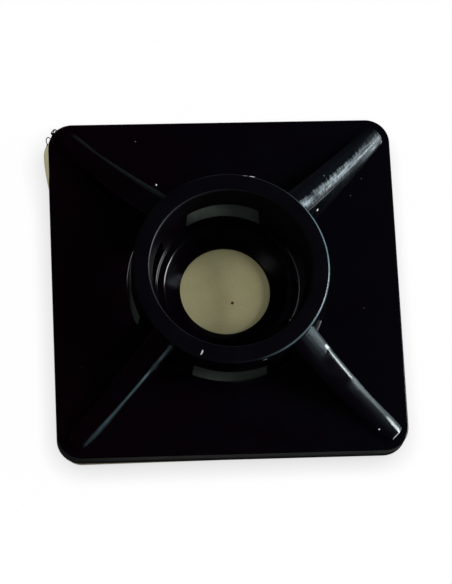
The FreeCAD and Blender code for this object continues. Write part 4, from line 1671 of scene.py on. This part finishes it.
@dataclass(frozen=True)
class Crumb:
    """One flattened grain: its place on what carries it, its half sizes, its turn, and how pale it is."""

    place: Triple
    sizes: Triple
    turn_deg: float = 0.0
    shade: float = 1.0

    def shell(self, seed: int) -> Shell:
        """The grain where it lies, made uneven by the draws of a seed."""
        ball = ball_shell(self.sizes, seed).turned(self.turn_deg / RIGHT_ANGLE_DEG)
        return ball.moved(np.array(self.place))


@dataclass
class Crumbs:
    """Loose grains that lie on the moulding."""

    grains: tuple[Crumb, ...] = (
        Crumb((-3.818, 6.189, 2.45), (0.055, 0.05, 0.04), 20.0),
        Crumb((5.345, 4.17, 3.45), (0.085, 0.13, 0.15), 0.0),
        Crumb((8.235, -8.885, 2.86), (0.045, 0.042, 0.035), 0.0, 1.0),
        Crumb((1.45, 5.38, 5.89), (0.17, 0.022, 0.02), -10.0, 0.9),
        Crumb((1.05, 5.44, 5.89), (0.14, 0.014, 0.014), -6.0, 0.3),
        Crumb((-1.884, -4.942, 5.9), (0.17, 0.06, 0.02), 62.0, 0.5),
        Crumb((1.646, -5.447, 5.86), (0.12, 0.022, 0.02), 20.0, 0.12),
        Crumb((3.440, -2.490, 3.5), (0.06, 0.03, 0.14), 55.0, 0.8),
        Crumb((5.795, 5.981, 4.1), (0.045, 0.04, 0.02), 30.0, 0.1),
        Crumb((6.534, 5.347, 2.45), (0.05, 0.045, 0.02), 50.0, 0.2),
        Crumb((8.185, 6.335, 2.45), (0.045, 0.045, 0.02), 10.0, 0.0),
        Crumb((7.497, 5.302, 2.45), (0.045, 0.045, 0.02), 70.0, 0.0),
        Crumb((-4.928, 8.886, 2.45), (0.05, 0.03, 0.02), 10.0, 0.12),
    )
    sharp_deg: float = 60

    def build(self, finish: CrumbFinish, effects: Effects) -> bpy.types.Object:
        """Build and dress all grains as one piece.

        Args:
            finish: their material.
            effects: the shared shader groups.

        Returns:
            The piece.
        """
        shells = [grain.shell(seed) for seed, grain in enumerate(self.grains)]
        piece = Shell.merge(shells).to_object("crumbs")
        shade(piece, self.sharp_deg)
        counts = [len(shell.points) for shell in shells]
        set_attribute(piece, "shade", np.repeat([grain.shade for grain in self.grains], counts))
        piece.data.materials.append(finish.build(effects))
        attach(piece, "root")
        return piece


@dataclass
class FrayedFilm:
    """Threads and a small lump of adhesive film that stick out at the plate's far left corner."""

    threads: tuple[tuple[Triple, ...], ...] = (
        ((-9.86, 8.84, 1.7), (-9.97, 8.93, 1.78), (-10.07, 9.12, 1.9), (-10.09, 9.3, 1.95),
         (-10.0, 9.43, 1.95), (-9.88, 9.4, 1.9), (-9.74, 9.26, 1.85)),
        ((-9.97, 8.8, 1.2), (-10.05, 8.98, 1.35), (-10.03, 9.14, 1.5), (-9.9, 9.16, 1.55),
         (-9.8, 9.1, 1.5)),
        ((-9.58, 9.4, 1.75), (-9.68, 9.52, 1.85), (-9.79, 9.67, 1.95), (-9.72, 9.79, 2.0),
         (-9.6, 9.9, 2.0), (-9.5, 9.88, 1.95), (-9.43, 9.74, 1.9), (-9.4, 9.6, 1.85)),
        ((-9.5, 9.44, 2.0), (-9.64, 9.58, 2.1), (-9.66, 9.74, 2.12), (-9.56, 9.78, 2.1),
         (-9.44, 9.6, 2.05)),
    )
    thread_radius: float = 0.028
    lump: Triple = (-9.70, 9.68, 1.9)
    lump_sizes: Triple = (0.07, 0.06, 0.08)
    lump_seed: int = 41
    lump_uneven: float = 0.2
    sharp_deg: float = 60

    def build(self, finish: FrayFinish, effects: Effects) -> bpy.types.Object:
        """Build and dress the threads and the lump as one piece.

        Args:
            finish: their material.
            effects: the shared shader groups.

        Returns:
            The piece.
        """
        shells = [thread_shell(np.array(controls), self.thread_radius) for controls in self.threads]
        lump = ball_shell(self.lump_sizes, self.lump_seed, self.lump_uneven)
        shells.append(lump.moved(np.array(self.lump)))
        piece = Shell.merge(shells).to_object("frayed_film")
        shade(piece, self.sharp_deg)
        piece.data.materials.append(finish.build(effects))
        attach(piece, "root")
        return piece


@dataclass
class ReleaseLiner:
    """Paper under the foam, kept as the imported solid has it."""

    node: str = "release_liner"

    def dress(self, finish: PaperFinish, effects: Effects) -> bpy.types.Object:
        """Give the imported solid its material."""
        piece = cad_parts[self.node]
        piece.data.materials.clear()
        piece.data.materials.append(finish.build(effects))
        return piece


# The studio.


@dataclass(frozen=True)
class Lamp:
    """Rectangular soft lamp that looks at the object."""

    name: str
    azimuth_deg: float
    elevation_deg: float
    distance: float
    width: float
    height: float
    radiance: float
    colour: Triple

    def build(self) -> bpy.types.Object:
        """Make the lamp. Its power is its radiance times pi times its area."""
        azimuth, elevation = math.radians(self.azimuth_deg), math.radians(self.elevation_deg)
        level = math.cos(elevation)
        out = Vector((math.cos(azimuth) * level, math.sin(azimuth) * level, math.sin(elevation)))
        data = bpy.data.lights.new(self.name, "AREA")
        data.shape = "RECTANGLE"
        data.size, data.size_y = self.width, self.height
        data.energy = self.radiance * math.pi * self.width * self.height
        data.color = self.colour
        lamp = bpy.data.objects.new(self.name, data)
        lamp.rotation_euler = (-out).to_track_quat("-Z", "Y").to_euler()
        lamp.location = out * self.distance
        bpy.context.scene.collection.objects.link(lamp)
        return lamp


@dataclass(frozen=True)
class Studio:
    """Pale floor, dim room, soft lamps and the camera."""

    view_turn: float = -0.2898
    view_tilt: float = 0.3094
    view_roll: float = -0.0493
    view_distance: float = 164.893
    target: Triple = (0.0665, 0.0127, 1.1)
    focal_pixels: float = 2843.2
    image_width: float = 452.0
    sensor_width: float = 36.0
    clip_range: tuple[float, float] = (0.01, 50.0)
    floor_half: float = 3.0
    floor_gap: float = 0.00001
    room_level: float = 0.4
    room_shine: float = 0.01
    lamps: tuple[Lamp, ...] = (
        Lamp("window_lamp", 4.0, 32.0, 0.5, 0.19, 0.21, 18.0, (0.94, 0.98, 1.0)),
        Lamp("low_lamp", 8.0, 8.0, 0.5, 0.2, 0.05, 0.7, (0.7, 0.85, 1.0)),
    )

    def place_camera(self) -> None:
        """Stand the camera on its ray from the target, with its roll, and make it the scene's camera."""
        lean = math.sin(self.view_tilt)
        back = (lean * math.sin(self.view_turn), -lean * math.cos(self.view_turn), math.cos(self.view_tilt))
        back = Vector(back)
        level = Vector((0, 1, 0)).cross(back).normalized()
        upward = back.cross(level)
        cosine, sine = math.cos(self.view_roll), math.sin(self.view_roll)
        right = cosine * level + sine * upward
        top = -sine * level + cosine * upward
        data = bpy.data.cameras.new("camera")
        data.sensor_fit = "HORIZONTAL"
        data.sensor_width = self.sensor_width
        data.lens = self.focal_pixels * self.sensor_width / self.image_width
        data.clip_start, data.clip_end = self.clip_range
        camera = bpy.data.objects.new("camera", data)
        turn = Matrix((right, top, back)).transposed().to_4x4()
        place = (Vector(self.target) + back * self.view_distance) * MM
        camera.matrix_world = Matrix.Translation(place) @ turn
        bpy.context.scene.collection.objects.link(camera)
        bpy.context.scene.camera = camera

    def lay_floor(self) -> bpy.types.Object:
        """Lay the pale floor under the object."""
        signs = ((-1, -1), (1, -1), (1, 1), (-1, 1))
        corners = [(x * self.floor_half, y * self.floor_half, -self.floor_gap) for x, y in signs]
        mesh = bpy.data.meshes.new("floor")
        mesh.from_pydata(corners, [], [tuple(range(len(corners)))])
        floor = bpy.data.objects.new("floor", mesh)
        mesh.materials.append(FloorFinish().build())
        bpy.context.scene.collection.objects.link(floor)
        return floor

    def fill_room(self) -> None:
        """Dim even light from all round, which the camera sees as white."""
        world = bpy.data.worlds.new("room")
        world.use_nodes = True
        graph = Graph(world.node_tree)
        path = graph.add("ShaderNodeLightPath").outputs
        seen = graph.math("MAXIMUM", path["Is Camera Ray"], path["Is Transmission Ray"])
        levels = {"Value": path["Is Glossy Ray"], "To Min": self.room_level, "To Max": self.room_shine}
        lit = graph.add("ShaderNodeMapRange", levels).outputs[0]
        strength = graph.math("MAXIMUM", seen, lit)
        glow = graph.add("ShaderNodeBackground", {"Color": WHITE, "Strength": strength})
        graph.add("ShaderNodeOutputWorld", {"Surface": glow.outputs[0]})
        bpy.context.scene.world = world

    def build(self) -> None:
        """Set up the whole studio."""
        self.place_camera()
        self.lay_floor()
        self.fill_room()
        for lamp in self.lamps:
            lamp.build()
        bpy.context.scene.view_settings.view_transform = "Standard"


def main() -> None:
    """Build every piece in order and report it."""
    logging.basicConfig(level=logging.INFO, format="%(name)s: %(message)s")
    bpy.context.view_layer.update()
    effects = Effects()
    pieces = [
        MountBase().build(NylonFinish(), effects),
        FoamPad().build(FoamFinish(), effects),
        ReleaseLiner().dress(PaperFinish(), effects),
        Crumbs().build(CrumbFinish(), effects),
        FrayedFilm().build(FrayFinish(), effects),
    ]
    for piece in pieces:
        LOG.info("%s: %d faces", piece.name, len(piece.data.polygons))
    Studio().build()


if __name__ == "__main__":
    main()
